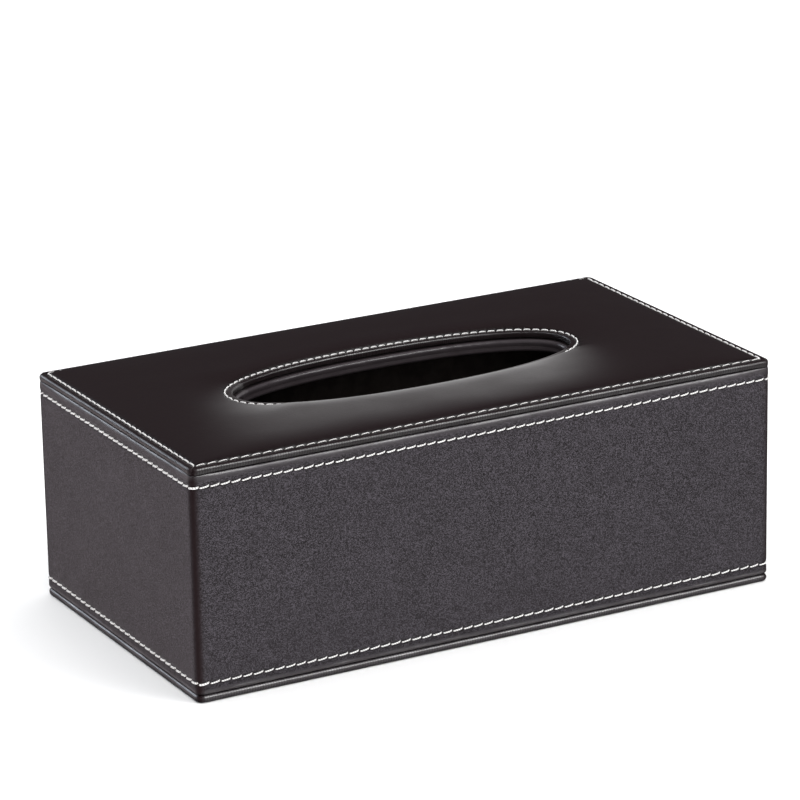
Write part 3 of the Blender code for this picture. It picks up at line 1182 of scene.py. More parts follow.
def thicken(obj: bpy.types.Object, thickness: float) -> None:
    """Give a skin its thickness on its inner side.

    Args:
        obj: The skin.
        thickness: Its thickness.
    """
    solidify = obj.modifiers.new("Leather thickness", "SOLIDIFY")
    solidify.thickness = thickness
    solidify.offset = -1
    solidify.use_even_offset = True
    settle(obj)


def settle(obj: bpy.types.Object) -> None:
    """Apply a piece's modifiers.

    Args:
        obj: The piece.
    """
    seen = bpy.context.evaluated_depsgraph_get()
    mesh = bpy.data.meshes.new_from_object(obj.evaluated_get(seen), depsgraph=seen)
    before = obj.data
    obj.modifiers.clear()
    obj.data = mesh
    bpy.data.meshes.remove(before)
    mesh.name = obj.name
    mesh.set_sharp_from_angle(angle=SMOOTH_ANGLE)


def let_in(obj: bpy.types.Object, low: Vector, high: Vector) -> None:
    """Cut a box out of a piece.

    Args:
        obj: The piece.
        low: The box's low corner.
        high: Its high corner.
    """
    mesh = bmesh.new()
    bmesh.ops.create_cube(mesh, size=1.0)
    bmesh.ops.scale(mesh, vec=high - low, verts=mesh.verts)
    bmesh.ops.translate(mesh, vec=(high + low) / 2, verts=mesh.verts)
    room = finished("room", mesh)
    cut = obj.modifiers.new("Room", "BOOLEAN")
    cut.operation = "DIFFERENCE"
    cut.solver = "EXACT"
    cut.object = room
    settle(obj)
    data = room.data
    bpy.data.objects.remove(room)
    bpy.data.meshes.remove(data)


def bell(distance: float, width: float) -> float:
    """A smooth bump of height 1 and a width, round a distance of 0."""
    return math.exp(-((distance / width) ** 2))


def smooth(share: float) -> float:
    """A smooth step from 0 to 1 as a share does so."""
    held = min(max(share, 0.0), 1.0)
    return held * held * (3 - 2 * held)


def shoulder(distance: float, width: float, power: float) -> float:
    """How far a pad has risen at a distance from its seam, from 0 to 1 at a width."""
    left = 1 - min(max(distance / width, 0.0), 1.0)
    return (1 - left * left) ** power


def both(first: float, second: float) -> float:
    """The smaller of two shares, rounded off where they are alike.

    Args:
        first: A share from 0 to 1.
        second: Another.

    Returns:
        The smaller one, or a little less.
    """
    if min(first, second) <= 0.0:
        return 0.0
    return (first**-2 + second**-2 - 1) ** -0.5


def spaced(low: float, high: float, count: int) -> list[float]:
    """Numbers evenly spaced from low to high, both ends included."""
    return [low + (high - low) * index / count for index in range(count + 1)]


# Sewing


@dataclass(frozen=True)
class Stitch:
    """One visible stitch: a short arched length of thread that dives into the leather at both ends."""

    length: float
    radius: float = 0.00037
    rise: float = 0.00030
    dive: float = 0.00050
    tip: float = 0.0
    bluntness: float = 5.0
    slant: float = 0.0
    hook: float = 0.0
    hook_place: float = 0.93
    hook_width: float = 0.12
    taper: float = 0.35
    thinning: float = 0.0
    steps: int = 12
    sides: int = 6

    def template(self) -> bpy.types.Mesh:
        """The stitch along X, with Y across it and Z up from the leather.

        Returns:
            The stitch's mesh.
        """
        mesh = bmesh.new()
        uv_map = mesh.loops.layers.uv.new(ROUND_MAP)
        bmesh.ops.create_grid(mesh, x_segments=self.steps, y_segments=self.sides, size=0.5)
        for face in mesh.faces:
            for loop in face.loops:
                loop[uv_map].uv = (loop.vert.co.x + 0.5, loop.vert.co.y + 0.5)
        for vert in mesh.verts:
            share = vert.co.x + 0.5
            angle = math.tau * (vert.co.y + 0.5)
            end = abs(2 * share - 1) ** self.bluntness
            radius = self.radius * (1 - self.taper * end) * (1 - self.thinning * (1 - share))
            middle = self.rise * (1 + self.tip * (2 * share - 1)) - (self.rise + self.dive) * end
            tilt = self.slant * (2 * share - 1) + self.hook * bell(share - self.hook_place, self.hook_width)
            vert.co = (
                self.length * (share - 0.5),
                tilt + radius * math.cos(angle),
                middle + radius * math.sin(angle),
            )
        bmesh.ops.remove_doubles(mesh, verts=mesh.verts, dist=MERGE_DISTANCE)
        rims = [edge for edge in mesh.edges if edge.is_boundary]
        bmesh.ops.holes_fill(mesh, edges=rims, sides=self.sides)
        bmesh.ops.recalc_face_normals(mesh, faces=mesh.faces)
        data = bpy.data.meshes.new("stitch template")
        mesh.to_mesh(data)
        mesh.free()
        return data


@dataclass(frozen=True)
class StitchRow:
    """A row of stitches along a seam. Those on the cover's ends look different from the others."""

    name: str
    spacing: Spacing
    outline: BoxOutline
    stitch: Stitch
    end_stitch: Stitch
    seed: int
    length_jitter: float = 0.05
    slant_jitter: float = 0.00006

    def build(self) -> bpy.types.Object:
        """Make the row as one piece.

        Returns:
            The row's object.
        """
        draw = random.Random(self.seed)
        path = self.spacing.path
        looks = (self.stitch, self.end_stitch)
        templates = [look.template() for look in looks]
        mesh = bmesh.new()
        for middle in self.spacing.middles():
            stretch = 1 + draw.uniform(-self.length_jitter, self.length_jitter)
            skew = draw.uniform(-self.slant_jitter, self.slant_jitter)
            which = self.outline.walk(path.turn_at(middle))[0] % 2
            count = len(templates[which].vertices)
            mesh.from_mesh(templates[which])
            mesh.verts.ensure_lookup_table()
            for vert in mesh.verts[len(mesh.verts) - count :]:
                along, across, lift = vert.co
                share = 2 * along / looks[which].length
                vert.co = path.place(middle + along * stretch, across + skew * share, lift)
        for template in templates:
            bpy.data.meshes.remove(template)
        return finished(self.name, mesh)


# The cover's pieces


@dataclass(frozen=True)
class CoverSizes:
    """Sizes read from the frame's nodes, and the leather's own.

    At each corner a rolled edge is folded to a mitre. The fold shows as a narrow notch, and beside it
    the leather fills out a share of what the roll takes away.
    """

    half_length: float
    half_width: float
    base_top: float
    wall_low: float
    wall_top: float
    panel_low: float
    panel_top: float
    crown_rise: float
    binding_low: float
    hinge_half_length: float
    hinge_top: float
    hinge_under: float
    leather: float = 0.0006
    gap: float = 0.0003
    corner_radius: float = 0.003
    notch_width: float = 0.0006
    fill_share: float = 0.85
    fill_width: float = 0.007
    long_steps: int = 160
    short_steps: int = 88
    corner_steps: int = 12

    @classmethod
    def from_frame(cls) -> "CoverSizes":
        """Read the frame.

        Returns:
            The sizes.
        """
        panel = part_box("panel_skin")
        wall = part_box("wall_wrap")
        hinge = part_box("hinge_strip")
        panel_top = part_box("panel_foam")[0].z + cls.leather
        return cls(
            half_length=wall[1].x,
            half_width=wall[1].y,
            base_top=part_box("base_skin")[1].z,
            wall_low=wall[0].z,
            wall_top=wall[1].z,
            panel_low=panel[0].z,
            panel_top=panel_top,
            crown_rise=panel[1].z - panel_top,
            binding_low=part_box("opening_binding")[0].z,
            hinge_half_length=hinge[1].x,
            hinge_top=hinge[1].z,
            hinge_under=hinge[1].y - hinge[0].y,
        )

    @property
    def outline(self) -> BoxOutline:
        """The cover's outline."""
        return BoxOutline(self.half_length, self.half_width, self.corner_radius)

    @property
    def turns(self) -> list[float]:
        """The turns of the skins' steps."""
        return self.outline.turns(self.long_steps, self.short_steps, self.corner_steps)

    def mitre(self, turn: float, width: float) -> float:
        """How far a turn lies within the mitred fold of a corner, from 0 to 1."""
        near = min(abs(turn - corner) for corner in self.outline.corner_turns())
        return bell(near * self.outline.perimeter, width)

    def folded_ring(self, inset: float, height: float, notch: float, fill: float) -> Ring:
        """A ring of a rolled edge, with its mitred folds.

        Args:
            inset: How far inside the outline it lies.
            height: Its height.
            notch: The depth of each fold's notch.
            fill: How far the leather beside a fold stands out.

        Returns:
            The ring.
        """

        def point(turn: float) -> Vector:
            """The ring's point at a turn."""
            notched = inset + notch * self.mitre(turn, self.notch_width)
            return self.outline.point(turn, notched - fill * self.mitre(turn, self.fill_width), height)

        return point


@dataclass(frozen=True)
class PaddedPanel:
    """The top panel: its leather with the rolled edge, crown and slot lip, its pad and its sewing.

    Lengths are in metres. turn_in_start, flat_start, lip_start and lip_under_start count in the radius
    of their roll, thread_sunk in the groove's depth, and pad_below and pad_least in the thickness of
    the leather.
    """

    sizes: CoverSizes
    turn_in: float = 0.012
    turn_in_start: float = 1.5
    turn_in_steps: int = 3
    lip_turn_in: float = 0.010
    slot_half_length: float = 0.0725
    slot_half_width: float = 0.025
    edge_seam: float = 0.0031
    slot_seam: float = 0.003
    groove_depth: float = 0.00030
    groove_width: float = 0.0009
    thread_sunk: float = 0.5
    roll_steps: int = 14
    flat_start: float = 1.12
    flat_steps: int = 5
    lip_rim: float = 0.0009
    lip_start: float = 1.2
    lip_under_start: float = 1.4
    lip_steps: int = 6
    crown_steps: int = 30
    crown_easing: float = 0.9
    crown_seam_spread: float = 1.3
    end_shoulder: float = 0.030
    side_shoulder: float = 0.017
    slot_shoulder: float = 0.009
    slot_end_shoulder: float = 0.022
    end_power: float = 0.64
    side_power: float = 0.38
    slot_power: float = 0.42
    slot_end_power: float = 1.0
    slot_end_start: float = 0.78
    slot_end_span: float = 0.21
    edge_pitch: float = 0.00453
    slot_pitch: float = 0.0036
    wave_size: float = 0.022
    wave_depth: float = 0.00012
    wave_sunk: float = 0.5
    notch_depth: float = 0.0009
    pad_shares: Span = (0.05, 0.95)
    pad_steps: int = 18
    pad_corner_steps: int = 4
    pad_below: float = 1.5
    pad_least: float = 0.1

    @property
    def slot(self) -> SlotOutline:
        """The slot's oval."""
        return SlotOutline(self.slot_half_length, self.slot_half_width)

    def crown(self, turn: float, share: float) -> Vector:
        """A point of the crowned field.

        Args:
            turn: The share of the way round.
            share: The share of the way from the edge's seam to the slot's.

        Returns:
            The point.
        """
        edge = self.sizes.outline.point(turn, self.edge_seam)
        lip = self.slot.point(turn, self.slot_seam)
        place = edge.lerp(lip, share)
        span = (lip - edge).length
        end = self.sizes.half_length - self.edge_seam - abs(place.x)
        side = self.sizes.half_width - self.edge_seam - abs(place.y)
        by_end = smooth((abs(lip.x) / self.slot_half_length - self.slot_end_start) / self.slot_end_span)
        width = self.slot_shoulder + (self.slot_end_shoulder - self.slot_shoulder) * by_end
        power = self.slot_power + (self.slot_end_power - self.slot_power) * by_end
        edges = both(
            shoulder(end, self.end_shoulder, self.end_power),
            shoulder(side, self.side_shoulder, self.side_power),
        )
        fullness = edges * shoulder(span * (1 - share), width, power)
        dips = bell(span * share, self.groove_width) + bell(span * (1 - share), self.groove_width)
        wave = (noise.noise(place / self.wave_size) - self.wave_sunk) * self.wave_depth * fullness
        place.z = self.sizes.panel_top + self.sizes.crown_rise * fullness + wave
        place.z -= dips * self.groove_depth
        return place

    def pad_top(self, turn: float, share: float) -> Vector:
        """A point of the pad's top, just under the leather.

        Args:
            turn: The share of the way round.
            share: The share of the way from the edge's seam to the slot's.

        Returns:
            The point.
        """
        place = self.crown(turn, share)
        seat = self.sizes.panel_top - self.sizes.leather
        highest = place.z - self.pad_below * self.sizes.leather
        place.z = max(highest, seat + self.pad_least * self.sizes.leather)
        return place

    def pad_seat(self, turn: float, share: float) -> Vector:
        """A point of the pad's flat underside.

        Args:
            turn: The share of the way round.
            share: The share of the way from the edge's seam to the slot's.

        Returns:
            The point.
        """
        place = self.crown(turn, share)
        place.z = self.sizes.panel_top - self.sizes.leather
        return place

    def edge_ring(self, angle: float) -> Ring:
        """A ring of the rolled edge.

        Args:
            angle: The angle, from -90 to 90 degrees, in radians.

        Returns:
            The ring.
        """
        sizes = self.sizes
        radius = (sizes.panel_top - sizes.panel_low) / 2
        inset = radius * (1 - math.cos(angle))
        fill = sizes.fill_share * inset if angle < 0 else 0.0
        height = sizes.panel_low + radius * (1 + math.sin(angle))
        notch = self.notch_depth * math.cos(angle) ** 0.5
        return sizes.folded_ring(inset, height, notch, fill)

    def crown_ring(self, share: float) -> Ring:
        """A ring of the crown."""
        return lambda turn: self.crown(turn, share)

    def stations(self, edge: Spacing, slot: Spacing) -> list[Station]:
        """The leather's rings, from its turned-in edge over the crown and down into the slot.

        Args:
            edge: The spacing of the edge's stitches.
            slot: The spacing of the slot's stitches.

        Returns:
            The rings.
        """
        outline, top, low = self.sizes.outline, self.sizes.panel_top, self.sizes.panel_low
        radius = (top - low) / 2
        insets = spaced(self.turn_in, radius * self.turn_in_start, self.turn_in_steps)
        rings = [Station(outline.ring(inset, low)) for inset in insets]
        for angle in spaced(-math.pi / 2, math.pi / 2, self.roll_steps):
            roll = 1 - max(0.0, math.sin(angle)) ** 2
            rings.append(Station(self.edge_ring(angle), roll, corner=roll))
        for inset in spaced(radius * self.flat_start, self.edge_seam, self.flat_steps):
            seam = bell(self.edge_seam - inset, self.groove_width)
            ring = outline.ring(inset, top - self.groove_depth * seam)
            rings.append(Station(ring, seam=seam, spacing=edge))
        span = self.sizes.half_width - self.slot_half_width - self.edge_seam - self.slot_seam
        for share in spaced(0.0, 1.0, self.crown_steps)[1:-1]:
            eased = share - self.crown_easing * math.sin(math.tau * share) / math.tau
            near = edge if share < 0.5 else slot
            seam = bell(span * min(eased, 1 - eased), self.groove_width * self.crown_seam_spread)
            rings.append(Station(self.crown_ring(eased), seam=seam, spacing=near))
        return rings + self.lip_stations(slot)

    def lip_stations(self, slot: Spacing) -> list[Station]:
        """The rings of the slot's lip, from its seam down the slot's wall and back under the panel.

        Args:
            slot: The spacing of the slot's stitches.

        Returns:
            The rings.
        """
        top, low, rim = self.sizes.panel_top, self.sizes.panel_low, self.lip_rim
        rings = []
        for outset in spaced(self.slot_seam, rim * self.lip_start, self.flat_steps):
            seam = bell(self.slot_seam - outset, self.groove_width)
            ring = self.slot.ring(outset, top - self.groove_depth * seam)
            rings.append(Station(ring, seam=seam, spacing=slot))
        for angle in spaced(math.pi / 2, 0.0, self.lip_steps):
            ring = self.slot.ring(rim * (1 - math.cos(angle)), top - rim * (1 - math.sin(angle)))
            rings.append(Station(ring, roll=math.cos(angle)))
        for angle in spaced(0.0, math.pi / 2, self.lip_steps):
            ring = self.slot.ring(rim * (1 - math.cos(angle)), low + rim * (1 - math.sin(angle)))
            rings.append(Station(ring, roll=math.cos(angle)))
        outsets = spaced(rim * self.lip_under_start, self.lip_turn_in, self.turn_in_steps)
        return rings + [Station(self.slot.ring(outset, low)) for outset in outsets]

    def build(self, wardrobe: Wardrobe) -> None:
        """Make the panel's pieces, dress them and hang them on the cover.

        Args:
            wardrobe: Where the finishes come from.
        """
        outline = self.sizes.outline
        height = self.sizes.panel_top - self.groove_depth * self.thread_sunk
        edge_path = SeamPath(outline.ring(self.edge_seam, height), lambda _: UPWARDS)
        slot_path = SeamPath(self.slot.ring(self.slot_seam, height), lambda _: UPWARDS)
        edge = Spacing.cornered(edge_path, outline.corner_turns(), self.edge_pitch)
        slot = Spacing.even(slot_path, self.slot_pitch)
        stations = self.stations(edge, slot)
        skin = Skin("padded_top_leather", outline, stations, self.sizes.turns)
        leather = skin.build(UPWARDS, len(stations) // 2)
        thicken(leather, self.sizes.leather)
        wardrobe.dress(leather, PANEL_LEATHER)
        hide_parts("panel_skin")
        ride(leather, "cover")
        self.build_pad(wardrobe)
        self.sew(wardrobe, edge, slot)

    def build_pad(self, wardrobe: Wardrobe) -> None:
        """Make the foam pad that fills the crown.

        Args:
            wardrobe: Where the finishes come from.
        """
        shares = spaced(*self.pad_shares, self.pad_steps)
        rings = [Station(lambda turn, s=share: self.pad_top(turn, s)) for share in shares]
        seat = [Station(lambda turn, s=share: self.pad_seat(turn, s)) for share in (shares[-1], shares[0])]
        outline = self.sizes.outline
        turns = outline.turns(
            self.sizes.long_steps // 2, self.sizes.short_steps // 2, self.pad_corner_steps
        )
        skin = Skin("foam_pad", outline, [*rings, *seat, rings[0]], turns)
        pad = skin.build(UPWARDS, self.pad_steps // 2)
        wardrobe.dress(pad, FOAM)
        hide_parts("panel_foam")
        ride(pad, "cover")

    def sew(self, wardrobe: Wardrobe, edge: Spacing, slot: Spacing) -> None:
        """Sew the edge and the slot.

        Args:
            wardrobe: Where the finishes come from.
            edge: The spacing of the edge's stitches.
            slot: The spacing of the slot's stitches.
        """
        outline = self.sizes.outline
        edge_stitch = Stitch(
            length=self.edge_pitch * 0.87,
            radius=0.00026,
            rise=0.00022,
            tip=0.9,
            bluntness=6,
            thinning=0.35,
            slant=0.00006,
        )
        edge_end = Stitch(
            length=self.edge_pitch * 0.87, radius=0.00033, rise=0.00016, dive=0.00040, bluntness=7
        )
        slot_stitch = Stitch(length=self.slot_pitch * 0.90, radius=0.00034, rise=0.00014, thinning=0.2)
        slot_end = Stitch(length=self.slot_pitch * 0.84, radius=0.00030, rise=0.00014, dive=0.00040)
        edge_row = StitchRow("panel_edge_thread", edge, outline, edge_stitch, edge_end, seed=11)
        slot_row = StitchRow("slot_thread", slot, outline, slot_stitch, slot_end, seed=12)
        ride_thread(edge_row.build(), wardrobe)
        ride_thread(slot_row.build(), wardrobe)


def ride(obj: bpy.types.Object, body: str) -> None:
    """Hang a piece on its body and log it."""
    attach(obj, body)
    LOG.info("%s rides on %s with %d faces", obj.name, body, len(obj.data.polygons))


def ride_thread(row: bpy.types.Object, wardrobe: Wardrobe) -> None:
    """Dress a row of stitches and hang it on the cover.

    Args:
        row: The row.
        wardrobe: Where the finishes come from.
    """
    wardrobe.dress(row, THREAD)
    ride(row, "cover")


@dataclass(frozen=True)
class WallBand:
    """The leather band round the four walls, with its two lines of sewing.

    Lengths are in metres. turn_in_start and top_clearance count in the size of their roll, and
    groove_reach in the groove's width.
    """

    sizes: CoverSizes
    under: float = 0.0039
    under_steps: int = 2
    turn_in: float = 0.015
    turn_in_start: float = 1.3
    turn_in_steps: int = 3
    low_roll: float = 0.0012
    top_roll: float = 0.0027
    top_clearance: float = 1.05
    roll_depth: float = 0.0013
    upper_seam: float = 0.0838
    lower_seam: float = 0.0076
    upper_pitch: float = 0.00427
    lower_pitch: float = 0.00444
    groove_depth: float = 0.00026
    groove_width: float = 0.00095
    groove_reach: float = 2.2
    groove_steps: int = 8
    roll_steps: int = 10
    hem_shade: float = 0.5
    joint_depth: float = 0.0003
    joint_width: float = 0.0007
    wave_size: float = 0.028
    wave_depth: float = 0.00008
    wave_sunk: float = 0.6
    ring_gap: float = 0.006
    notch_depth: float = 0.0007

    def surface(self, turn: float, height: float) -> Vector:
        """A point of the wall's face.

        Args:
            turn: The share of the way round.
            height: The height.

        Returns:
            The point.
        """
        outline = self.sizes.outline
        dips = self.dip(height)
        joint = self.joint_depth * bell(min(turn, 1 - turn) * outline.perimeter, self.joint_width)
        point = outline.point(turn, 0.0, height)
        wave = (noise.noise(point / self.wave_size) - self.wave_sunk) * self.wave_depth
        return outline.point(turn, dips + joint - wave, height)

    def dip(self, height: float) -> float:
        """How far the sewing draws the leather in.

        Args:
            height: The height.

        Returns:
            The depth.
        """
        near = bell(height - self.upper_seam, self.groove_width)
        near += bell(height - self.lower_seam, self.groove_width)
        return near * self.groove_depth

    def heights(self) -> list[float]:
        """The heights of the wall's rings, closer together by the seams.

        Returns:
            The heights, upwards.
        """
        reach = self.groove_reach * self.groove_width
        near = spaced(-reach, reach, self.groove_steps)
        lower = [self.lower_seam + gap for gap in near]
        highest = self.sizes.wall_top - self.top_roll * self.top_clearance
        upper = [self.upper_seam + gap for gap in near if self.upper_seam + gap < highest]
        count = round((upper[0] - lower[-1]) / self.ring_gap)
        low = self.sizes.wall_low + self.low_roll
        return [low, (low + lower[0]) / 2, *lower, *spaced(lower[-1], upper[0], count)[1:-1], *upper]

    def top_ring(self, angle: float) -> Ring:
        """A ring of the upper roll.

        Args:
            angle: The angle up from level, in radians.

        Returns:
            The ring.
        """
        sizes = self.sizes
        inset = self.roll_depth * (1 - math.cos(angle))
        height = sizes.wall_top - self.top_roll * (1 - math.sin(angle))
        notch = self.notch_depth * math.sin(angle) ** 0.5
        return sizes.folded_ring(inset + self.dip(height), height, notch, sizes.fill_share * inset)

    def low_ring(self, angle: float) -> Ring:
        """A ring of the lower roll.

        Args:
            angle: The angle down from level, in radians.

        Returns:
            The ring.
        """
        inset = self.low_roll * (1 - math.cos(angle))
        height = self.sizes.wall_low + self.low_roll * (1 - math.sin(angle))
        return self.sizes.outline.ring(inset, height)

    def face_ring(self, height: float) -> Ring:
        """The ring of the wall's face at a height."""
        return lambda turn: self.surface(turn, height)

    def stations(self, upper: Spacing, lower: Spacing) -> list[Station]:
        """The band's rings, from under the walls up and in over the roof board.

        Args:
            upper: The spacing of the upper line's stitches.
            lower: The spacing of the lower line's stitches.

        Returns:
            The rings.
        """
        outline, low, top = self.sizes.outline, self.sizes.wall_low, self.sizes.wall_top
        angles = spaced(0.0, math.pi / 2, self.roll_steps)
        under = spaced(self.under, self.low_roll * self.turn_in_start, self.under_steps)
        rings = [Station(outline.ring(inset, low)) for inset in under]
        rings += [Station(self.low_ring(angle), roll=1.0, corner=1.0) for angle in reversed(angles[1:])]
        middle = (self.upper_seam + self.lower_seam) / 2
        for height in self.heights():
            # The seam number paints shade into the stitch grooves. At hem_shade it also darkens the hem
            # below the lower seam.
            seam = max(
                bell(height - self.upper_seam, self.groove_width),
                bell(height - self.lower_seam, self.groove_width),
                self.hem_shade if height < self.lower_seam else 0.0,
            )
            spacing = upper if height > middle else lower
            roll = bell(height - low - self.low_roll, self.low_roll / 2)
            rings.append(Station(self.face_ring(height), roll, seam, spacing, corner=1.0))
        rings += [Station(self.top_ring(angle), math.sin(angle), corner=math.cos(angle)) for angle in angles]
        over = spaced(self.roll_depth * self.turn_in_start, self.turn_in, self.turn_in_steps)
        return rings + [Station(outline.ring(inset, top)) for inset in over]

    def path(self, height: float) -> SeamPath:
        """The line of the stitches at a height."""
        return SeamPath(self.face_ring(height), self.sizes.outline.outward)

    def build(self, wardrobe: Wardrobe) -> None:
        """Make the band and its sewing.

        Args:
            wardrobe: Where the finishes come from.
        """
        sizes = self.sizes
        upper = Spacing.even(self.path(self.upper_seam), self.upper_pitch)
        lower = Spacing.even(self.path(self.lower_seam), self.lower_pitch)
        stations = self.stations(upper, lower)
        skin = Skin("wall_leather_band", sizes.outline, stations, sizes.turns)
        band = skin.build(REARWARDS, len(stations) // 2)
        thicken(band, sizes.leather)
        reach = sizes.hinge_half_length + sizes.gap
        let_in(
            band,
            Vector((-reach, sizes.half_width - sizes.leather - sizes.gap / 2, 0)),
            Vector((reach, sizes.half_width + sizes.gap, sizes.hinge_top + sizes.gap)),
        )
        wardrobe.dress(band, WALL_LEATHER)
        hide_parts("wall_wrap")
        ride(band, "cover")
        rows = (
            ("wall_upper_thread", upper, self.upper_pitch, 21),
            ("wall_lower_thread", lower, self.lower_pitch, 22),
        )
        for name, spacing, pitch, seed in rows:
            stitch = Stitch(
                length=pitch * 0.97,
                radius=0.00034,
                tip=0.3,
                bluntness=6,
                slant=-0.00026,
                hook=-0.00022,
                thinning=0.15,
            )
            end = Stitch(
                length=pitch * 1.02,
                radius=0.00043,
                rise=0.00022,
                tip=0.2,
                bluntness=8,
                slant=-0.00024,
                hook=-0.00018,
            )
            row = StitchRow(name, spacing, sizes.outline, stitch, end, seed)
            ride_thread(row.build(), wardrobe)


@dataclass(frozen=True)
class SlotBinding:
    """The leather bound round the roof board's oval, the second ledge inside the slot.

    Lengths are in metres, and flange_start counts in the size of the roll.
    """

    sizes: CoverSizes
    half_length: float = 0.0707
    half_width: float = 0.0232
    flange: float = 0.008
    flange_start: float = 1.4
    flange_steps: int = 2
    edge_roll: float = 0.0012
    roll_steps: int = 6
    middle_roll: float = 0.4
    corner_steps: int = 4

    def stations(self) -> list[Station]:
        """The binding's rings, from under the board up and out over it.

        Returns:
            The rings.
        """
        oval = SlotOutline(self.half_length, self.half_width)
        low, high, roll = self.sizes.binding_low, self.sizes.wall_top, self.edge_roll
        start = roll * self.flange_start
        section = [(outset, low, 0.0) for outset in spaced(self.flange, start, self.flange_steps)]
        for angle in spaced(math.pi / 2, 0.0, self.roll_steps):
            section.append((roll * (1 - math.cos(angle)), low + roll * (1 - math.sin(angle)), 1.0))
        section.append((0.0, (low + high) / 2, self.middle_roll))
        for angle in spaced(0.0, math.pi / 2, self.roll_steps):
            section.append((roll * (1 - math.cos(angle)), high - roll * (1 - math.sin(angle)), 1.0))
        section += [(outset, high, 0.0) for outset in spaced(start, self.flange, self.flange_steps)]
        return [Station(oval.ring(outset, height), roll=rolled) for outset, height, rolled in section]

    def build(self, wardrobe: Wardrobe) -> None:
        """Make the binding.

        Args:
            wardrobe: Where the finishes come from.
        """
        outline = self.sizes.outline
        turns = outline.turns(self.sizes.long_steps, self.sizes.short_steps, self.corner_steps)
        stations = self.stations()
        skin = Skin("slot_binding_leather", outline, stations, turns)
        binding = skin.build(FORWARDS, len(stations) // 2)
        thicken(binding, self.sizes.leather)
        wardrobe.dress(binding, BINDING_LEATHER)
        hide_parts("opening_binding")
        ride(binding, "cover")


@dataclass(frozen=True)
class BaseFlap:
    """The flap's leather, drawn over its board from below with a rolled edge.

    Lengths are in metres, and turn_in_start counts in the radius of the roll.
    """

    sizes: CoverSizes
    turn_in: float = 0.012
    turn_in_start: float = 1.4
    turn_in_steps: int = 2
    roll_steps: int = 12
    roll_fade: float = 0.003
    middle_half_width: float = 0.004
    under_rings: int = 12

    def stations(self) -> list[Station]:
        """The leather's rings, from its turned-in edge down and in under the flap.

        Returns:
            The rings.
        """
        outline = self.sizes.outline
        radius = self.sizes.base_top / 2
        insets = spaced(self.turn_in, radius * self.turn_in_start, self.turn_in_steps)
        section = [(inset, self.sizes.base_top, 0.0) for inset in insets]
        for angle in spaced(math.pi / 2, -math.pi / 2, self.roll_steps):
            section.append((radius * (1 - math.cos(angle)), radius * (1 + math.sin(angle)), 1.0))
        last = self.sizes.half_width - self.middle_half_width
        for inset in spaced(radius * self.turn_in_start, last, self.under_rings):
            section.append((inset, 0.0, bell(inset - radius, self.roll_fade)))
        return [
            Station(outline.ring(inset, height), rolled, corner=rolled) for inset, height, rolled in section
        ]

    def build(self, wardrobe: Wardrobe) -> None:
        """Make the flap's leather and let it in for the hinge strip.

        Args:
            wardrobe: Where the finishes come from.
        """
        sizes = self.sizes
        skin = Skin("base_leather", sizes.outline, self.stations(), sizes.turns, closed_middle=True)
        leather = skin.build(REARWARDS, self.turn_in_steps + 1 + self.roll_steps // 2)
        thicken(leather, sizes.leather)
        reach = sizes.hinge_half_length + sizes.gap
        rear = sizes.half_width + sizes.gap
        under = sizes.half_width - sizes.hinge_under - sizes.gap
        deep = sizes.leather + sizes.gap / 2
        let_in(leather, Vector((-reach, under, -sizes.gap)), Vector((reach, rear, deep)))
        edge = sizes.half_width - sizes.base_top / 2
        let_in(leather, Vector((-reach, edge, -sizes.gap)), Vector((reach, rear, sizes.wall_low)))
        wardrobe.dress(leather, BASE_LEATHER)
        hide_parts("base_skin")
        ride(leather, "base_flap")


@dataclass(frozen=True)
class HingeStrip:
    """The leather strip that joins the rear wall to the flap and bends as the flap opens."""

    sizes: CoverSizes
    walls: WallBand
    steps: int = 160
    bend_start: float = 0.0036
    bend_end: float = 0.0024
    wall_steps: int = 22
    bend_steps: int = 4
    roll_steps: int = 10
    under_steps: int = 6

    def section(self) -> list[tuple[float, float]]:
        """The strip's outer side, down the wall, round the flap's edge and in under it.

        Returns:
            The Y and Z of each of its points.
        """
        sizes = self.sizes
        bend = sizes.base_top / 2
        rear = sizes.half_width
        axis = (sizes.base_top + sizes.wall_low) / 2
        down = spaced(sizes.hinge_top, self.bend_start, self.wall_steps)
        down += spaced(self.bend_start, axis, self.bend_steps)[1:]
        path = [(rear - self.walls.dip(height), height) for height in down]
        for angle in spaced(0.0, math.pi / 2, self.roll_steps):
            path.append((rear - bend * (1 - math.cos(angle)), bend * (1 - math.sin(angle))))
        under = spaced(rear - bend, rear - sizes.hinge_under, self.under_steps)[1:]
        return path + [(y, 0.0) for y in under]

    def build(self, wardrobe: Wardrobe) -> None:
        """Make the strip.

        Args:
            wardrobe: Where the finishes come from.
        """
        path = self.section()
        rows = len(path) - 1
        mesh = bmesh.new()
        round_map = mesh.loops.layers.uv.new(ROUND_MAP)
        bmesh.ops.create_grid(mesh, x_segments=self.steps, y_segments=rows, size=0.5)
        for vert in mesh.verts:
            y, z = path[round((vert.co.y + 0.5) * rows)]
            vert.co = (2 * vert.co.x * self.sizes.hinge_half_length, y, z)
        for face in mesh.faces:
            for loop in face.loops:
                loop[round_map].uv = (loop.vert.co.x, loop.vert.co.z)
        mesh.normal_update()
        if max(mesh.faces, key=lambda face: face.calc_center_median().z).normal.y < 0:
            bmesh.ops.reverse_faces(mesh, faces=mesh.faces)
        strip = finished("hinge_leather", mesh)
        thicken(strip, self.sizes.leather)
        wardrobe.dress(strip, HINGE_LEATHER)
        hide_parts("hinge_strip")
        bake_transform(strip)
        LOG.info("%s bends between cover and base_flap", strip.name)


# Studio


class Fade(Enum):
    """How a light's brightness falls off over its face."""

    NONE = "even"
    BELL = "from the middle to all edges"
    FAN = "spreading upwards from a narrow foot"


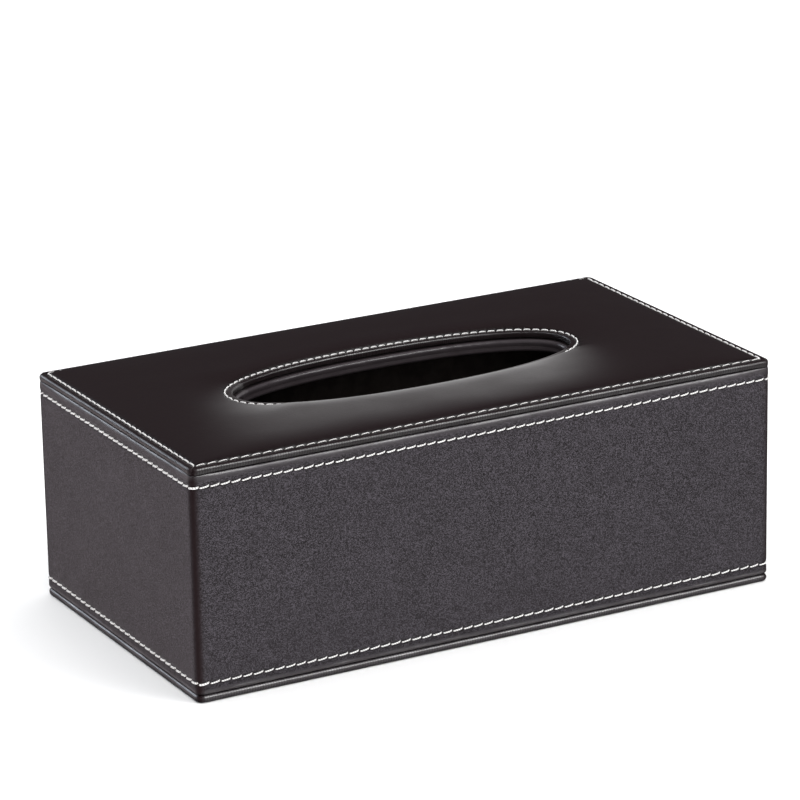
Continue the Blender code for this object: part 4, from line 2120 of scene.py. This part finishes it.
@dataclass(frozen=True)
class Softbox:
    """A soft rectangular light that aims at a point. Its radiance is what a mirror would show of it."""

    name: str
    place: tuple[float, float, float]
    aim: tuple[float, float, float]
    size: tuple[float, float]
    radiance: float
    colour: Colour = (1.0, 1.0, 1.0)
    mirrored: bool = True
    fade: Fade = Fade.BELL
    bell_power: float = 0.45
    fan_foot: float = 0.52
    fan_sides: Span = (0.55, 1.0)
    fan_heights: Span = (0.14, 0.42)

    def build(self) -> None:
        """Hang the light."""
        light = bpy.data.lights.new(self.name, "AREA")
        light.shape = "RECTANGLE"
        light.size, light.size_y = self.size
        light.energy = self.radiance * math.pi * self.size[0] * self.size[1]
        light.color = self.colour
        obj = bpy.data.objects.new(self.name, light)
        obj.location = self.place
        aim = Vector(self.aim) - Vector(self.place)
        obj.rotation_euler = aim.to_track_quat("-Z", "Y").to_euler()
        obj.visible_camera = False
        obj.visible_glossy = self.mirrored
        bpy.context.scene.collection.objects.link(obj)
        if self.fade is not Fade.NONE:
            self.feather(light)

    def feather(self, light: bpy.types.Light) -> None:
        """Let the light's brightness fall off over its face.

        Args:
            light: The light.
        """
        light.use_nodes = True
        graph = Graph(light.node_tree)
        where = graph.node("ShaderNodeNewGeometry").outputs["Parametric"]
        split = graph.node("ShaderNodeSeparateXYZ", {}, {0: where})
        across, up = (Value(graph, split.outputs[axis]) for axis in ("X", "Y"))
        if self.fade is Fade.BELL:
            glow = ((across - QUARTER_WAVE).wave() * (up - QUARTER_WAVE).wave()) ** self.bell_power
        else:
            half_width = up * (1 - self.fan_foot) + self.fan_foot
            aside = graph.math("ABSOLUTE", across - 0.5) * 2 / half_width
            glow = (1 - aside.steps(*self.fan_sides)) * (1 - up.steps(*self.fan_heights))
        graph.feed(graph.tree.nodes["Emission"].inputs["Strength"], glow)


@dataclass(frozen=True)
class PhotoCamera:
    """The camera at the photograph's angle, found from the cover's corners and seams. Angles in degrees."""

    azimuth: float = -28.326
    elevation: float = 18.056
    roll: float = -1.078
    distance: float = 1.6515625
    aim_right: float = -0.00235
    aim_up: float = 0.0309
    aim_height: float = 0.045
    lens: float = 190.23
    sensor: float = 36.0
    clip: Span = (0.01, 100.0)

    def build(self) -> None:
        """Place the camera."""
        azimuth, elevation = math.radians(self.azimuth), math.radians(self.elevation)
        back = Vector((
            math.sin(azimuth) * math.cos(elevation),
            -math.cos(azimuth) * math.cos(elevation),
            math.sin(elevation),
        ))
        level_right = (-back).cross(UPWARDS).normalized()
        level_up = level_right.cross(-back)
        roll = math.radians(self.roll)
        right = level_right * math.cos(roll) + level_up * math.sin(roll)
        up = level_up * math.cos(roll) - level_right * math.sin(roll)
        place = back * self.distance + right * self.aim_right + up * self.aim_up
        place.z += self.aim_height
        data = bpy.data.cameras.new("photo camera")
        data.lens = self.lens
        data.sensor_width = self.sensor
        data.clip_start, data.clip_end = self.clip
        camera = bpy.data.objects.new("photo camera", data)
        camera.matrix_world = Matrix.Translation(place) @ Matrix((right, up, back)).transposed().to_4x4()
        bpy.context.scene.collection.objects.link(camera)
        bpy.context.scene.camera = camera


@dataclass(frozen=True)
class Studio:
    """A white floor under soft light, with cards whose mirror images draw the highlights."""

    floor_size: float = 30.0
    floor_steps: int = 8
    sky: Colour = (0.072, 0.072, 0.075)
    backdrop: Colour = (1.0, 1.0, 1.0)
    lights: tuple[Softbox, ...] = (
        Softbox("overhead", (0, 0.2, 2.6), (0, 0.2, 0), (5, 5), 2.1, mirrored=False, fade=Fade.NONE),
        Softbox("fill", (-1.2, -2.2, 1), (0, 0, 0.05), (1.5, 1.5), 3.8, mirrored=False, fade=Fade.NONE),
        Softbox("key", (1.0, -1.29, 1.52), (0, 0, 0.05), (1.4, 1.2), 10.0),
        Softbox("left rear card", (-0.68, 1.43, 0.66), (-0.12, 0, 0.05), (1.1, 0.7), 6.0, (0.84, 0.90, 1.0)),
        Softbox(
            "left table",
            (-0.813, 0.75, 0.001),
            (-0.813, 0.75, 1),
            (1.374, 1.8),
            0.37,
            (1, 0.85, 0.86),
            fade=Fade.NONE,
        ),
        Softbox("front table", (0.6, -0.919, 0.001), (0.6, -0.919, 1), (1.8, 1.7), 0.25, fade=Fade.NONE),
        Softbox("slot card", (0.002, 0, 0.123), (-0.198, -0.90, 0.123), (0.28, 0.07), 1.5, fade=Fade.FAN),
    )

    def build(self, wardrobe: Wardrobe) -> None:
        """Light the scene and lay the floor.

        Args:
            wardrobe: Where the finishes come from.
        """
        for light in self.lights:
            light.build()
        self.build_world()
        mesh = bmesh.new()
        steps = self.floor_steps
        bmesh.ops.create_grid(mesh, x_segments=steps, y_segments=steps, size=self.floor_size / 2)
        floor = finished("studio_floor", mesh)
        floor.visible_glossy = False
        wardrobe.dress(floor, FLOOR)
        bpy.context.scene.view_settings.view_transform = "Standard"

    def build_world(self) -> None:
        """A dim room, seen as a white backdrop past the floor's edge."""
        world = bpy.data.worlds.new("studio")
        bpy.context.scene.world = world
        world.use_nodes = True
        graph = Graph(world.node_tree)
        room = graph.tree.nodes["Background"]
        graph.feed(room.inputs["Color"], (*self.sky, 1.0))
        backdrop = graph.node("ShaderNodeBackground", {}, {"Color": (*self.backdrop, 1.0)})
        seen = graph.node("ShaderNodeLightPath").outputs["Is Camera Ray"]
        sources = {0: seen, 1: room.outputs[0], 2: backdrop.outputs[0]}
        either = graph.node("ShaderNodeMixShader", {}, sources)
        graph.feed(graph.tree.nodes["World Output"].inputs["Surface"], either.outputs[0])


def dress_frame(wardrobe: Wardrobe) -> None:
    """Dress the frame's own nodes that stay.

    Args:
        wardrobe: Where the finishes come from.
    """
    finishes: dict[str, Finish] = {
        "wall_board": FIBREBOARD,
        "roof_board": FIBREBOARD,
        "panel_board": GREYBOARD,
        "base_board": GREYBOARD,
        "lining": LINING,
        "base_lining": LINING,
        "magnet": NICKEL,
        "strike_plate": STEEL,
    }
    for name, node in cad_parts.items():
        for prefix, finish in finishes.items():
            if name.startswith(prefix):
                wardrobe.dress(node, finish)
                LOG.info("%s is dressed in %s", name, finish.name)


def main() -> None:
    """Build the cover, dress the frame and light it."""
    logging.basicConfig(level=logging.INFO, format="%(name)s: %(message)s")
    wardrobe = Wardrobe()
    sizes = CoverSizes.from_frame()
    PhotoCamera().build()
    PaddedPanel(sizes).build(wardrobe)
    walls = WallBand(sizes)
    walls.build(wardrobe)
    SlotBinding(sizes).build(wardrobe)
    BaseFlap(sizes).build(wardrobe)
    HingeStrip(sizes, walls).build(wardrobe)
    dress_frame(wardrobe)
    Studio().build(wardrobe)


if __name__ == "__main__":
    main()
